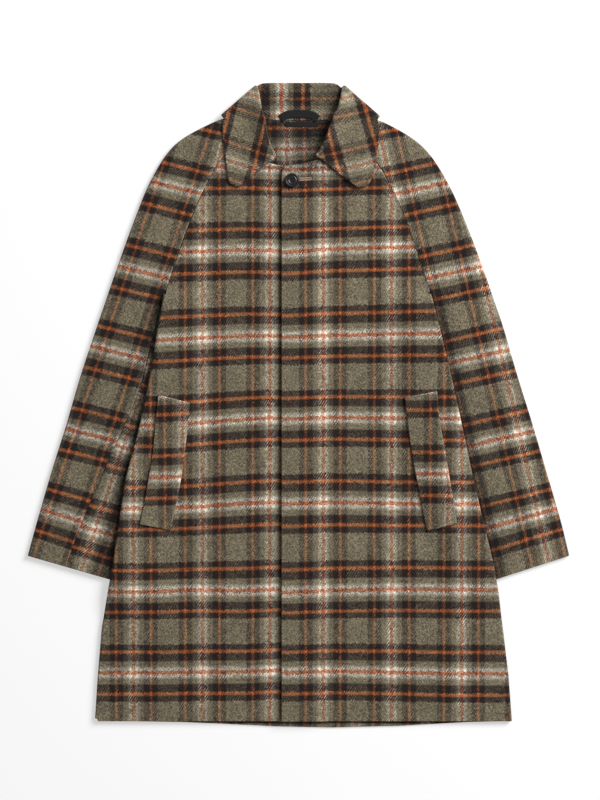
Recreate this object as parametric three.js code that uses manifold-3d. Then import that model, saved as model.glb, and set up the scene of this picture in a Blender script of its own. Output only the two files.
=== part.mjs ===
// A long raglan overcoat of thick checked wool, laid flat on its back with its front up.
// Millimetres, +Z up from the surface it lies on, +Y towards the collar, X across the coat.
// The origin is on the surface, under the middle of the coat.

import * as THREE from 'three';
import { mergeVertices } from 'three/addons/utils/BufferGeometryUtils.js';
import Module from 'manifold-3d';

// Cloth and how its layers lie
const CLOTH = 2.6;
const SEAM_GAP = 0.3;
const LAYER = CLOTH + SEAM_GAP;
const FOLD_RADIUS = 2.5; // of a fold's middle line, where a sleeve or a side turns under
const SLEEVE_LIFT = 8.3; // the body's sides lie over the sleeves' inner edges
const FALL_LIFT = 3.3; // the back neck lies over the rear of the collar
const PLACKET_LIFT = 4.2; // the right-hand front lies over the other one
const LEAF_LIFT = 3.5; // collar leaves above the fronts
const STAND_RISE = 1.8; // of the stand's rear towards its top fold
const LEAF_TIP_LIFT = 4.5; // the right-hand leaf's tip stands up a little

// Where those rises run, from their feet to their full height, as places across or along
// the coat, or as distances from the sleeve's inner edge, the underarm or the cuff
const OVER_SLEEVE = { acrossFrom: 98, acrossTo: 14, topFrom: 2, topTo: 34, cuffFrom: 70, cuffTo: 4 };
const OVER_FALL = { alongFrom: 320, alongTo: 462, acrossFrom: 230, acrossTo: 136 };
const OVER_UNDERLAP = { acrossFrom: 62, acrossTo: 20 };
const LEAF_TIP = { acrossFrom: 60, acrossTo: 112, alongFrom: 440, alongTo: 372 };
const STAND_TOP = { alongFrom: 500, alongTo: 545 };
const WELT_MOUTH = { alongFrom: -40, alongTo: 10 };

// Lengths along the coat
const UNDERARM_Y = 190;
const CUFF_Y = -304;
const HEM_Y = -543;
const HEM_FLARE = 1.56; // how much wider the hem is than the chest

// The fronts' middle
const PLACKET_X = -29.2;
const UNDERLAP_X = 18;
const PLACKET_TOP_Y = 394;

// Body sides below the underarms
const SIDES = [
  { y: 190, left: -231, right: 228 },
  { y: 130, left: -242, right: 243 },
  { y: 60, left: -253, right: 260 },
  { y: -42, left: -274, right: 282 },
  { y: -127, left: -297, right: 300 },
  { y: -200, left: -308, right: 317 },
  { y: -270, left: -318, right: 334 },
  { y: -320, left: -327, right: 343 },
  { y: -382, left: -338, right: 351 },
  { y: -465, left: -345, right: 361 },
  { y: -560, left: -351, right: 368 },
];

// Hem of the back under the fronts' hem
const BACK_HEM = [
  { x: -351, y: HEM_Y },
  { x: -230, y: -545 },
  { x: -60, y: -552.5 },
  { x: 60, y: -554.4 },
  { x: 180, y: -551.5 },
  { x: 290, y: -545 },
  { x: 368, y: HEM_Y },
];

// Front raglan seams from the neck to the underarm, the back ones mirror them
const RAGLAN = [
  { leftX: -83.4, leftY: 455.8, rightX: 81.7, rightY: 455.8 },
  { leftX: -129.9, leftY: 424.8, rightX: 133.3, rightY: 416.2 },
  { leftX: -159.1, leftY: 376.7, rightX: 160.8, rightY: 368.1 },
  { leftX: -179.7, leftY: 332.0, rightX: 179.7, rightY: 328.5 },
  { leftX: -203.0, leftY: 270.0, rightX: 201.0, rightY: 272.0 },
  { leftX: -229.6, leftY: 190.9, rightX: 226.2, rightY: 190.9 },
];

// The sleeves' outer fold along the shoulder, one row for each row of the raglan seam
const SHOULDER = [
  { leftX: -105.8, leftY: 498, rightX: 105.8, rightY: 498 },
  { leftX: -150, leftY: 483.5, rightX: 152, rightY: 482.5 },
  { leftX: -212, leftY: 447, rightX: 212, rightY: 445 },
  { leftX: -252, leftY: 389, rightX: 252.5, rightY: 389 },
  { leftX: -281.2, leftY: 319.9, rightX: 284.7, rightY: 319.9 },
  { leftX: -316, leftY: 224, rightX: 320.5, rightY: 226 },
];

// Where the upper sleeve ends on the back, from the neck to the underarm
const BACK_RAGLAN = [
  { x: 80, y: 492.8 },
  { x: 128, y: 440 },
  { x: 158, y: 380 },
  { x: 180, y: 330 },
  { x: 203, y: 268 },
  { x: 226.5, y: 190.9 },
];

// Sleeves below the underarm: outer fold, hidden inner fold, and the two seams of the
// under panel as shares of the width from the inner fold, on the front and on the back
const SLEEVES = {
  left: [
    { outerX: -316, outerY: 224, innerX: -232.5, innerY: 188, front: 0.0, back: 0.0 },
    { outerX: -331, outerY: 180, innerX: -239.4, innerY: 152, front: 0.08, back: 0.12 },
    { outerX: -346.6, outerY: 134.2, innerX: -233, innerY: 98, front: 0.16, back: 0.2 },
    { outerX: -374.1, outerY: 51.6, innerX: -239, innerY: 3, front: 0.27, back: 0.22 },
    { outerX: -398.2, outerY: -31, innerX: -262, innerY: -82, front: 0.36, back: 0.24 },
    { outerX: -424, outerY: -113.5, innerX: -284, innerY: -160, front: 0.44, back: 0.24 },
    { outerX: -448.1, outerY: -196.1, innerX: -301, innerY: -243, front: 0.53, back: 0.22 },
    { outerX: -465.3, outerY: -259, innerX: -311, innerY: -303, front: 0.575, back: 0.2 },
  ],
  right: [
    { outerX: 320.5, outerY: 226, innerX: 229.5, innerY: 188, front: 0.0, back: 0.0 },
    { outerX: 336, outerY: 180, innerX: 238.8, innerY: 152, front: 0.02, back: 0.2 },
    { outerX: 351.7, outerY: 134.2, innerX: 236.5, innerY: 98, front: 0.04, back: 0.32 },
    { outerX: 375.8, outerY: 51.6, innerX: 246, innerY: 3, front: 0.04, back: 0.42 },
    { outerX: 401.6, outerY: -31, innerX: 268, innerY: -82, front: 0.04, back: 0.48 },
    { outerX: 425.7, outerY: -113.5, innerX: 290, innerY: -160, front: 0.04, back: 0.54 },
    { outerX: 449.8, outerY: -196.1, innerX: 314, innerY: -243, front: 0.04, back: 0.58 },
    { outerX: 465.3, outerY: -259, innerX: 327, innerY: -303, front: 0.04, back: 0.6 },
  ],
};

// Upper edges of the overlapping front and of the one under it, from the middle edge to the
// neck seam, then the front neck seam up to the raglan seam, and the back one from the
// raglan seam to the centre back
const OVERLAP_TOP = [
  { x: PLACKET_X, y: PLACKET_TOP_Y },
  { x: -27, y: 407 },
  { x: -18, y: 410.5 },
  { x: 4, y: 413 },
  { x: 24, y: 418 },
];
const UNDERLAP_TOP = [
  { x: UNDERLAP_X, y: 408 },
  { x: 2, y: 408 },
  { x: -17, y: 409 },
  { x: -30, y: 411 },
];
const FRONT_NECK = [
  { leftX: -45.6, leftY: 414, rightX: 36, rightY: 421 },
  { leftX: -62.8, leftY: 426.6, rightX: 58, rightY: 433 },
  { leftX: -83.4, leftY: 455.8, rightX: 81.7, rightY: 455.8 },
];
const BACK_NECK = [
  { x: 80, y: 492.8 },
  { x: 55.9, y: 488.5 },
  { x: 0, y: 487.6 },
];

// Collar stand beside the neck, from the front end to the turn at the shoulder: the neck
// seam and the roll
const STAND_FRONT = {
  left: [
    { seamX: -45, seamY: 415.2, rollX: -40, rollY: 426 },
    { seamX: -62, seamY: 427.6, rollX: -50, rollY: 456 },
    { seamX: -82.5, seamY: 457, rollX: -58, rollY: 488 },
    { seamX: -94, seamY: 478.5, rollX: -61.5, rollY: 508 },
    { seamX: -102.5, seamY: 496, rollX: -66, rollY: 534 },
  ],
  right: [
    { seamX: 35.4, seamY: 422.2, rollX: 32.5, rollY: 428.5 },
    { seamX: 57.2, seamY: 434.2, rollX: 46, rollY: 458 },
    { seamX: 80.8, seamY: 457, rollX: 58, rollY: 486 },
    { seamX: 94, seamY: 479, rollX: 66.5, rollY: 512 },
    { seamX: 102.5, seamY: 496, rollX: 70, rollY: 534 },
  ],
};

// Its rear, from the turn at the shoulder to the centre back
const STAND_REAR = [
  { seamX: 102.5, seamY: 498, rollX: 69, rollY: 535 },
  { seamX: 79.5, seamY: 493.6, rollX: 54, rollY: 552.4 },
  { seamX: 55.9, seamY: 489.3, rollX: 38, rollY: 552.6 },
  { seamX: 0, seamY: 488.4, rollX: 0, rollY: 552.6 },
];

// Collar leaves, from the front end up to the slanting fold: roll and outer edge
const LEAF = {
  left: [
    { rollX: -40, rollY: 423, edgeX: -102, edgeY: 373.6 },
    { rollX: -46, rollY: 446, edgeX: -118.9, edgeY: 382.5 },
    { rollX: -53, rollY: 469, edgeX: -124, edgeY: 416 },
    { rollX: -58.5, rollY: 491, edgeX: -128.3, edgeY: 450 },
    { rollX: -61, rollY: 516, edgeX: -129.5, edgeY: 474 },
    { rollX: -71, rollY: 540, edgeX: -125.4, edgeY: 490.1 },
  ],
  right: [
    { rollX: 32, rollY: 425, edgeX: 101, edgeY: 372.6 },
    { rollX: 42, rollY: 446.5, edgeX: 121, edgeY: 379.5 },
    { rollX: 51.5, rollY: 469.5, edgeX: 134, edgeY: 416 },
    { rollX: 59.5, rollY: 491, edgeX: 137, edgeY: 451 },
    { rollX: 67.5, rollY: 520, edgeX: 137.5, edgeY: 474 },
    { rollX: 76, rollY: 540, edgeX: 132.4, edgeY: 488 },
  ],
};

// Rear of the collar fall on the surface, from the slanting fold to the centre back
const FALL_REAR = [
  { rollX: 73, rollY: 543, edgeX: 127, edgeY: 487.5 },
  { rollX: 64, rollY: 553.2, edgeX: 103, edgeY: 480 },
  { rollX: 48, rollY: 553.8, edgeX: 70, edgeY: 474.5 },
  { rollX: 24, rollY: 553.8, edgeX: 33, edgeY: 471 },
  { rollX: 0, rollY: 553.8, edgeX: 0, edgeY: 470 },
];

// Slanted pocket welts: their two long edges from the top down
const WELTS = {
  left: [
    { outerX: -239.9, outerY: 17.7, innerX: -186, innerY: 3.5 },
    { outerX: -244.5, outerY: -28, innerX: -190.5, innerY: -42 },
    { outerX: -249, outerY: -76, innerX: -196, innerY: -90 },
    { outerX: -258, outerY: -134, innerX: -204, innerY: -142 },
    { outerX: -271.6, outerY: -204.3, innerX: -219.3, innerY: -215 },
  ],
  right: [
    { outerX: 237, outerY: 23.7, innerX: 182, innerY: 13 },
    { outerX: 242, outerY: -28, innerX: 188.5, innerY: -42 },
    { outerX: 250.5, outerY: -76, innerX: 197, innerY: -98 },
    { outerX: 259.5, outerY: -130, innerX: 207.5, innerY: -152 },
    { outerX: 271.4, outerY: -202.4, innerX: 220.2, innerY: -217.2 },
  ],
};
const WELT_RISE = 0.4;

// Soft ridges and troughs of the cloth: a line from one end to the other
const FOLDS = [
  { fromX: 40, fromY: 330, toX: 70, toY: -480, width: 34, height: 1.2 },
  { fromX: -95, fromY: 300, toX: -120, toY: -120, width: 40, height: 1.1 },
  { fromX: 150, fromY: 180, toX: 110, toY: -300, width: 30, height: -1.2 },
  { fromX: -190, fromY: 230, toX: -160, toY: 60, width: 22, height: 1.2 },
  { fromX: 185, fromY: 210, toX: 150, toY: 20, width: 20, height: 1.2 },
  { fromX: -210, fromY: -330, toX: -235, toY: -520, width: 30, height: 1.3 },
  { fromX: 240, fromY: -300, toX: 270, toY: -520, width: 34, height: 1.2 },
  { fromX: -250, fromY: 330, toX: -330, toY: 60, width: 26, height: 1.1 },
  { fromX: -330, fromY: 40, toX: -400, toY: -170, width: 22, height: -1.1 },
  { fromX: 250, fromY: 320, toX: 340, toY: 40, width: 26, height: -1.0 },
  { fromX: 345, fromY: 40, toX: 400, toY: -190, width: 22, height: 1.2 },
];

// Hanger loop, neck label and button
const TAPE = { width: 10, thick: 1.4, endsX: 32, endsY: 491, topX: 16, topY: 499.5, middleX: 1 };
const LABEL = { fromX: -23.2, toX: 33.5, topY: 485.6, bottomY: 477.6, thick: 0.8 };
const BUTTON = { x: -11, y: 384.9, radius: 11.8, thick: 4.2, rim: 2.2, holeRadius: 0.9, holeOff: 2.2 };

const WOOL = new THREE.MeshStandardMaterial({ color: 0x6e6555, roughness: 0.95, metalness: 0 });
const WOOL_TURNED = new THREE.MeshStandardMaterial({ color: 0x5f5446, roughness: 0.95, metalness: 0 });
const TAPE_BLACK = new THREE.MeshStandardMaterial({ color: 0x1b1a1c, roughness: 0.8, metalness: 0 });
const BUTTON_BLACK = new THREE.MeshStandardMaterial({ color: 0x17171a, roughness: 0.35, metalness: 0 });

const group = new THREE.Group();

function addMesh(name, geometry, material) {
  const mesh = new THREE.Mesh(geometry, material);
  mesh.name = name;
  group.add(mesh);
}

// 0 before the first value, 1 after the second, with a smooth rise between
function ramp(value, from, to) {
  return THREE.MathUtils.smoothstep((value - from) / (to - from), 0, 1);
}

// A table's column as a piecewise line over another column, held at its ends
function readTable(table, over, value, column) {
  const rising = table[0][over] < table[table.length - 1][over];
  const rows = rising ? table : [...table].reverse();
  if (value <= rows[0][over]) {
    return rows[0][column];
  }
  for (let i = 1; i < rows.length; i += 1) {
    if (value <= rows[i][over]) {
      const share = (value - rows[i - 1][over]) / (rows[i][over] - rows[i - 1][over]);
      return THREE.MathUtils.lerp(rows[i - 1][column], rows[i][column], share);
    }
  }
  return rows[rows.length - 1][column];
}

// Points on a smooth curve through a table's rows, with equal steps between rows
function smoothRows(table, steps, toPoint) {
  const curve = new THREE.SplineCurve(table.map(toPoint));
  return curve.getPoints(steps * (table.length - 1));
}

// All number columns of a table at equal smooth steps between its rows
function refine(table, steps) {
  const columns = Object.keys(table[0]);
  const count = steps * (table.length - 1) + 1;
  const rows = Array.from({ length: count }, () => ({}));
  for (const column of columns) {
    const line = smoothRows(table, steps, (row, i) => new THREE.Vector2(i, row[column]));
    line.forEach((point, i) => {
      rows[i][column] = point.y;
    });
  }
  return rows;
}

// Height of the soft ridges: a bell across each ridge's line that fades towards its ends
function foldHeight(x, y) {
  let sum = 0;
  for (const fold of FOLDS) {
    const dx = fold.toX - fold.fromX;
    const dy = fold.toY - fold.fromY;
    const length = Math.hypot(dx, dy);
    const along = ((x - fold.fromX) * dx + (y - fold.fromY) * dy) / (length * length);
    const across = ((x - fold.fromX) * dy - (y - fold.fromY) * dx) / length;
    const fade = ramp(along, -0.1, 0.25) * ramp(along, 1.1, 0.7);
    sum += fold.height * fade * Math.exp(-((across / fold.width) ** 2));
  }
  return sum;
}

// How far the body is raised over the sleeves' inner edges
function sleeveLift(x, y) {
  const table = x < 0 ? SLEEVES.left : SLEEVES.right;
  const inner = Math.abs(readTable(table, 'innerY', y, 'innerX'));
  const { acrossFrom, acrossTo, topFrom, topTo, cuffFrom, cuffTo } = OVER_SLEEVE;
  const across = ramp(Math.abs(x), inner - acrossFrom, inner - acrossTo);
  const belowTop = ramp(y, UNDERARM_Y - topFrom, UNDERARM_Y - topTo);
  const aboveCuff = ramp(y, CUFF_Y - cuffFrom, CUFF_Y - cuffTo);
  return SLEEVE_LIFT * across * belowTop * aboveCuff;
}

// Middle of a sleeve's lower side, raised only where the collar passes under it
function sleeveBackHeight(x, y) {
  const { alongFrom, alongTo, acrossFrom, acrossTo } = OVER_FALL;
  const overFall = ramp(y, alongFrom, alongTo) * ramp(Math.abs(x), acrossFrom, acrossTo);
  return CLOTH / 2 + FALL_LIFT * overFall;
}

// Middle of a sleeve's upper side
function sleeveFrontHeight(x, y) {
  return sleeveBackHeight(x, y) + 2 * FOLD_RADIUS + foldHeight(x, y);
}

// Middle of the back panel
function backHeight(x, y) {
  return sleeveBackHeight(x, y) + sleeveLift(x, y);
}

// Middle of the fronts
function frontHeight(x, y) {
  return backHeight(x, y) + 2 * FOLD_RADIUS + foldHeight(x, y);
}

// The upper layer of the overlapping front, higher beside its edge
function placketHeight(x, y) {
  const { acrossFrom, acrossTo } = OVER_UNDERLAP;
  return frontHeight(x, y) + PLACKET_LIFT * ramp(x, acrossFrom, acrossTo);
}

// A point of a cloth's middle surface on a height, with the surface's upward normal
function onHeight(height, x, y, raise = 0) {
  const step = 0.5;
  const slopeX = (height(x + step, y) - height(x - step, y)) / (2 * step);
  const slopeY = (height(x, y + step) - height(x, y - step)) / (2 * step);
  const normal = new THREE.Vector3(-slopeX, -slopeY, 1).normalize();
  return { point: new THREE.Vector3(x, y, height(x, y) + raise), normal };
}

// A point on a turned edge: angle 0 is the flat top, 180 degrees the flat underside
function onTurn(centre, outward, angle, radius) {
  const normal = new THREE.Vector3(
    outward.x * Math.sin(angle), outward.y * Math.sin(angle), Math.cos(angle));
  return { point: centre.clone().addScaledVector(normal, radius), normal };
}

// One closed wall from a grid of middle points and normals, half its thickness to each side
function wall(grid, thick) {
  const rows = grid.length;
  const columns = grid[0].length;
  const positions = [];
  for (const side of [1, -1]) {
    for (const row of grid) {
      for (const { point, normal } of row) {
        const moved = point.clone().addScaledVector(normal, (side * thick) / 2);
        positions.push(moved.x, moved.y, moved.z);
      }
    }
  }
  const at = (side, i, j) => side * rows * columns + i * columns + j;
  const faces = [];
  const quad = (a, b, c, d) => faces.push(a, b, c, a, c, d);
  for (let i = 0; i + 1 < rows; i += 1) {
    for (let j = 0; j + 1 < columns; j += 1) {
      quad(at(0, i, j), at(0, i + 1, j), at(0, i + 1, j + 1), at(0, i, j + 1));
      quad(at(1, i, j), at(1, i, j + 1), at(1, i + 1, j + 1), at(1, i + 1, j));
    }
  }
  for (let j = 0; j + 1 < columns; j += 1) {
    quad(at(0, 0, j), at(0, 0, j + 1), at(1, 0, j + 1), at(1, 0, j));
    const last = rows - 1;
    quad(at(0, last, j + 1), at(0, last, j), at(1, last, j), at(1, last, j + 1));
  }
  for (let i = 0; i + 1 < rows; i += 1) {
    quad(at(0, i + 1, 0), at(0, i, 0), at(1, i, 0), at(1, i + 1, 0));
    const last = columns - 1;
    quad(at(0, i, last), at(0, i + 1, last), at(1, i + 1, last), at(1, i, last));
  }
  return facingOut(positions, faces);
}

// A geometry whose faces point out, whichever way round its grid was listed
function facingOut(positions, faces) {
  let volume = 0;
  const corner = (k) => new THREE.Vector3(...positions.slice(3 * k, 3 * k + 3));
  for (let f = 0; f < faces.length; f += 3) {
    const [a, b, c] = [corner(faces[f]), corner(faces[f + 1]), corner(faces[f + 2])];
    volume += a.dot(b.cross(c));
  }
  const index = volume > 0 ? faces : faces.reverse();
  const geometry = new THREE.BufferGeometry();
  geometry.setAttribute('position', new THREE.Float32BufferAttribute(positions, 3));
  geometry.setIndex(index);
  geometry.computeVertexNormals();
  return geometry;
}

const flat = (x, y) => new THREE.Vector2(x, y);
const between = (a, b, share) => a.clone().lerp(b, share);

// Unit vectors square to a line of plan points, on the side away from a given point
function outwardNormals(line, away) {
  return line.map((point, i) => {
    const before = line[Math.max(i - 1, 0)];
    const after = line[Math.min(i + 1, line.length - 1)];
    const normal = flat(after.y - before.y, before.x - after.x).normalize();
    if (normal.dot(point.clone().sub(away)) < 0) {
      normal.negate();
    }
    return normal;
  });
}

const RAGLAN_STEPS = 2;
const TURN_STEPS = 5;

// Where rows of the body lie below the upper edge, close together where the body bends
const YOKE_ROWS = 5;
const BODY_LEVELS = [
  182, 168, 154, 110, 60, 10, -40, -90, -140, -190, -245, -302, -326, -350, -376, -430, -487,
];

function raglanLine(side) {
  return smoothRows(RAGLAN, RAGLAN_STEPS, (row) => flat(row[`${side}X`], row[`${side}Y`]));
}

function backRaglanLine(sign) {
  return smoothRows(BACK_RAGLAN, RAGLAN_STEPS, (row) => flat(sign * row.x, row.y));
}

// A body panel: columns run from its upper edge to its hem, and a side's column turns in
function bodyPanel({ height, top, hemAt, turned, lower }) {
  const gapAngle = (SEAM_GAP / 2) / FOLD_RADIUS;
  const grid = [];
  const rows = YOKE_ROWS + BODY_LEVELS.length + 1;
  for (let i = 0; i < rows; i += 1) {
    const row = [];
    top.forEach((start, j) => {
      const turn = turned[j];
      const y = rowLevel(i, start, hemAt(start.x));
      const spread = bodySpread(start, y);
      if (turn === undefined) {
        row.push(onHeight(height, spread, y));
        return;
      }
      const edge = readTable(SIDES, 'y', y, turn.side);
      const sign = Math.sign(edge);
      const centreX = edge - sign * (FOLD_RADIUS + CLOTH / 2);
      const middle = backHeight(centreX, y) + FOLD_RADIUS;
      const centre = new THREE.Vector3(centreX, y, middle);
      const reach = Math.PI / 2 - gapAngle;
      const angle = lower ? Math.PI - turn.share * reach : turn.share * reach;
      const turnedPoint = onTurn(centre, new THREE.Vector3(sign, 0, 0), angle, FOLD_RADIUS);
      if (lower) {
        turnedPoint.normal.negate();
      }
      row.push(turnedPoint);
    });
    grid.push(row);
  }
  return wall(grid, CLOTH);
}

// Height along the coat of a body panel's row: shares of the way down from the upper edge,
// then the same levels for every column, then the hem
function rowLevel(i, start, hem) {
  if (i < YOKE_ROWS) {
    return THREE.MathUtils.lerp(start.y, BODY_LEVELS[0], i / YOKE_ROWS);
  }
  const level = BODY_LEVELS[i - YOKE_ROWS];
  return level === undefined ? hem : level;
}

// A column's place across the coat at a height along it: the body widens towards the hem
function bodySpread(start, y) {
  const side = start.x < 0 ? 'left' : 'right';
  const narrow = readTable(SIDES, 'y', UNDERARM_Y, side);
  const wide = readTable(SIDES, 'y', Math.min(y, UNDERARM_Y), side);
  const inset = Math.sign(narrow) * (FOLD_RADIUS + CLOTH / 2);
  const fromX = PLACKET_X;
  const widening = (wide - inset - fromX) / (narrow - inset - fromX);
  const share = THREE.MathUtils.clamp((start.x - fromX) / (narrow - fromX), 0, 1);
  return start.x + (start.x - fromX) * (widening - 1) * Math.sqrt(share);
}

// The columns that turn a body panel's side down, or up from below
function sideTurns(side, x) {
  const turns = [];
  for (let k = 0; k <= 2; k += 1) {
    turns.push({ start: flat(x, UNDERARM_Y), turn: { side, share: k / 2 } });
  }
  return turns;
}

// Upper edge of a front from its middle edge along neck and raglan seam to the underarm
function frontColumns(side, middle) {
  const sign = side === 'left' ? -1 : 1;
  const neck = smoothRows(FRONT_NECK, 2, (row) => flat(row[`${side}X`], row[`${side}Y`]));
  const raglan = raglanLine(side).slice(1, -1);
  const inset = SEAM_GAP / 2;
  const columns = [];
  for (const row of middle) {
    columns.push({ start: flat(row.x, row.y) });
  }
  for (const point of neck) {
    columns.push({ start: point });
  }
  for (const point of raglan) {
    columns.push({ start: flat(point.x - sign * inset, point.y - inset) });
  }
  const edge = readTable(SIDES, 'y', UNDERARM_Y, side);
  columns.push(...sideTurns(side, edge - sign * (FOLD_RADIUS + CLOTH / 2)));
  return columns;
}

function addFronts() {
  const build = (name, side, height, middle) => {
    const columns = frontColumns(side, middle);
    const geometry = bodyPanel({
      height,
      top: columns.map((column) => column.start),
      turned: columns.map((column) => column.turn),
      hemAt: () => HEM_Y,
      lower: false,
    });
    addMesh(name, geometry, WOOL);
  };
  build('front_viewer_right', 'right', placketHeight, OVERLAP_TOP);
  build('front_viewer_left', 'left', frontHeight, UNDERLAP_TOP);
}

function addBack() {
  const columns = [];
  const half = (sign) => {
    const side = sign < 0 ? 'left' : 'right';
    const edge = readTable(SIDES, 'y', UNDERARM_Y, side);
    const turns = sideTurns(side, edge - sign * (FOLD_RADIUS + CLOTH / 2)).reverse();
    const inset = SEAM_GAP / 2;
    const raglan = backRaglanLine(sign).slice(1, -1).reverse();
    const seams = raglan.map((point) => ({ start: flat(point.x - sign * inset, point.y - inset) }));
    const neck = BACK_NECK.slice(0, -1).map((row) => ({ start: flat(sign * row.x, row.y) }));
    return [...turns, ...seams, ...neck];
  };
  columns.push(...half(-1));
  columns.push({ start: flat(0, BACK_NECK[BACK_NECK.length - 1].y) });
  columns.push(...half(1).reverse());
  const geometry = bodyPanel({
    height: backHeight,
    top: columns.map((column) => column.start),
    turned: columns.map((column) => column.turn),
    hemAt: (x) => readTable(BACK_HEM, 'x', x * HEM_FLARE, 'y'),
    lower: true,
  });
  addMesh('back_panel', geometry, WOOL);
}

// One row of a sleeve: along the front face, round the outer fold and along the back face
function sleeveRow(front, fold, outward, back, frontSteps, backSteps) {
  const centre = fold.clone().addScaledVector(outward, -(FOLD_RADIUS + CLOTH / 2));
  const row = [];
  for (let k = 0; k < frontSteps; k += 1) {
    const place = between(front, centre, k / frontSteps);
    row.push(onHeight(sleeveFrontHeight, place.x, place.y));
  }
  const foldMiddle = onHeight(sleeveBackHeight, centre.x, centre.y).point;
  foldMiddle.z += FOLD_RADIUS;
  const side = new THREE.Vector3(outward.x, outward.y, 0);
  for (let k = 0; k <= TURN_STEPS; k += 1) {
    row.push(onTurn(foldMiddle, side, (Math.PI * k) / TURN_STEPS, FOLD_RADIUS));
  }
  for (let k = 1; k <= backSteps; k += 1) {
    const place = between(centre, back, k / backSteps);
    const under = onHeight(sleeveBackHeight, place.x, place.y);
    under.normal.negate();
    row.push(under);
  }
  return row;
}

const vectorAdd = (point, direction, distance) => point.clone().addScaledVector(direction, distance);

// The plan places that a sleeve's panels share, row by row below the underarm
function sleeveBelow(side) {
  const rows = refine(SLEEVES[side], 2);
  const outer = rows.map((row) => flat(row.outerX, row.outerY));
  const inner = rows.map((row) => flat(row.innerX, row.innerY));
  const outerNormals = outwardNormals(outer, flat(0, 0));
  const innerNormals = outwardNormals(inner, flat(side === 'left' ? -900 : 900, 0));
  return rows.map((row, i) => {
    const inset = FOLD_RADIUS + CLOTH / 2;
    const outerCentre = vectorAdd(outer[i], outerNormals[i], -inset);
    const innerCentre = vectorAdd(inner[i], innerNormals[i], -inset);
    const across = outerCentre.clone().sub(innerCentre).normalize();
    return {
      outer: outer[i],
      outward: outerNormals[i],
      innerCentre,
      inward: innerNormals[i],
      across,
      seamFront: between(innerCentre, outerCentre, row.front),
      seamBack: between(innerCentre, outerCentre, row.back),
    };
  });
}

function addSleeve(side) {
  const sign = side === 'left' ? -1 : 1;
  const frontSeam = raglanLine(side);
  const backSeam = backRaglanLine(sign);
  const shoulder = smoothRows(SHOULDER, RAGLAN_STEPS, (row) => flat(row[`${side}X`], row[`${side}Y`]));
  const shoulderNormals = outwardNormals(shoulder, flat(0, 0));
  const half = SEAM_GAP / 2;
  const below = sleeveBelow(side);
  const grid = [];
  for (let i = 0; i + 1 < frontSeam.length; i += 1) {
    const front = flat(frontSeam[i].x + sign * half, frontSeam[i].y + half);
    const back = flat(backSeam[i].x + sign * half, backSeam[i].y + half);
    grid.push(sleeveRow(front, shoulder[i], shoulderNormals[i], back, 5, 4));
  }
  for (const row of below) {
    const front = vectorAdd(row.seamFront, row.across, half);
    const back = vectorAdd(row.seamBack, row.across, half);
    grid.push(sleeveRow(front, row.outer, row.outward, back, 5, 4));
  }
  addMesh(`sleeve_upper_${side}`, wall(grid, CLOTH), WOOL_TURNED);
  addMesh(`sleeve_under_${side}`, wall(below.map((row) => underRow(row, half)), CLOTH), WOOL);
}

// One row of an under panel: from the front seam round the inner fold to the back seam
function underRow(row, half) {
  const front = vectorAdd(row.seamFront, row.across, -half);
  const back = vectorAdd(row.seamBack, row.across, -half);
  const points = [];
  const steps = 3;
  for (let k = 0; k < steps; k += 1) {
    const place = between(front, row.innerCentre, k / steps);
    points.push(onHeight(sleeveFrontHeight, place.x, place.y));
  }
  const middle = onHeight(sleeveBackHeight, row.innerCentre.x, row.innerCentre.y).point;
  middle.z = CLOTH / 2 + FOLD_RADIUS;
  const side = new THREE.Vector3(row.inward.x, row.inward.y, 0);
  for (let k = 0; k <= TURN_STEPS; k += 1) {
    points.push(onTurn(middle, side, (Math.PI * k) / TURN_STEPS, FOLD_RADIUS));
  }
  for (let k = 1; k <= steps; k += 1) {
    const place = between(row.innerCentre, back, k / steps);
    const under = onHeight(sleeveBackHeight, place.x, place.y);
    under.normal.negate();
    points.push(under);
  }
  return points;
}

// The upper layer round the neck, and the collar leaves and the stand's rear over it
const neckHeight = (x, y) => (x > 0 ? placketHeight(x, y) : frontHeight(x, y));

function leafHeight(x, y) {
  const { acrossFrom, acrossTo, alongFrom, alongTo } = LEAF_TIP;
  const tip = ramp(x, acrossFrom, acrossTo) * ramp(y, alongFrom, alongTo);
  return neckHeight(x, y) + LEAF_LIFT + LEAF_TIP_LIFT * tip;
}

function standRearHeight(x, y) {
  return backHeight(x, y) + STAND_RISE * ramp(y, STAND_TOP.alongFrom, STAND_TOP.alongTo);
}

const onSurface = () => CLOTH / 2;

// A row of points from one plan point to another on a height
function layRow(from, to, height, steps) {
  return Array.from({ length: steps + 1 }, (_, k) => {
    const place = between(from, to, k / steps);
    return onHeight(height, place.x, place.y);
  });
}

// Rows that turn a row over an edge, from the upper height down to the lower one
function turnRows(row, upper, lower, outward, steps) {
  const rows = [];
  const side = new THREE.Vector3(outward.x, outward.y, 0);
  for (let k = 1; k < steps; k += 1) {
    rows.push(row.map(({ point }) => {
      const high = upper(point.x, point.y);
      const low = lower(point.x, point.y);
      const centre = new THREE.Vector3(point.x, point.y, (high + low) / 2);
      return onTurn(centre, side, (Math.PI * k) / steps, (high - low) / 2);
    }));
  }
  return rows;
}

const turnedOver = (row) => row.map(({ point, normal }) => ({ point, normal: normal.clone().negate() }));

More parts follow.
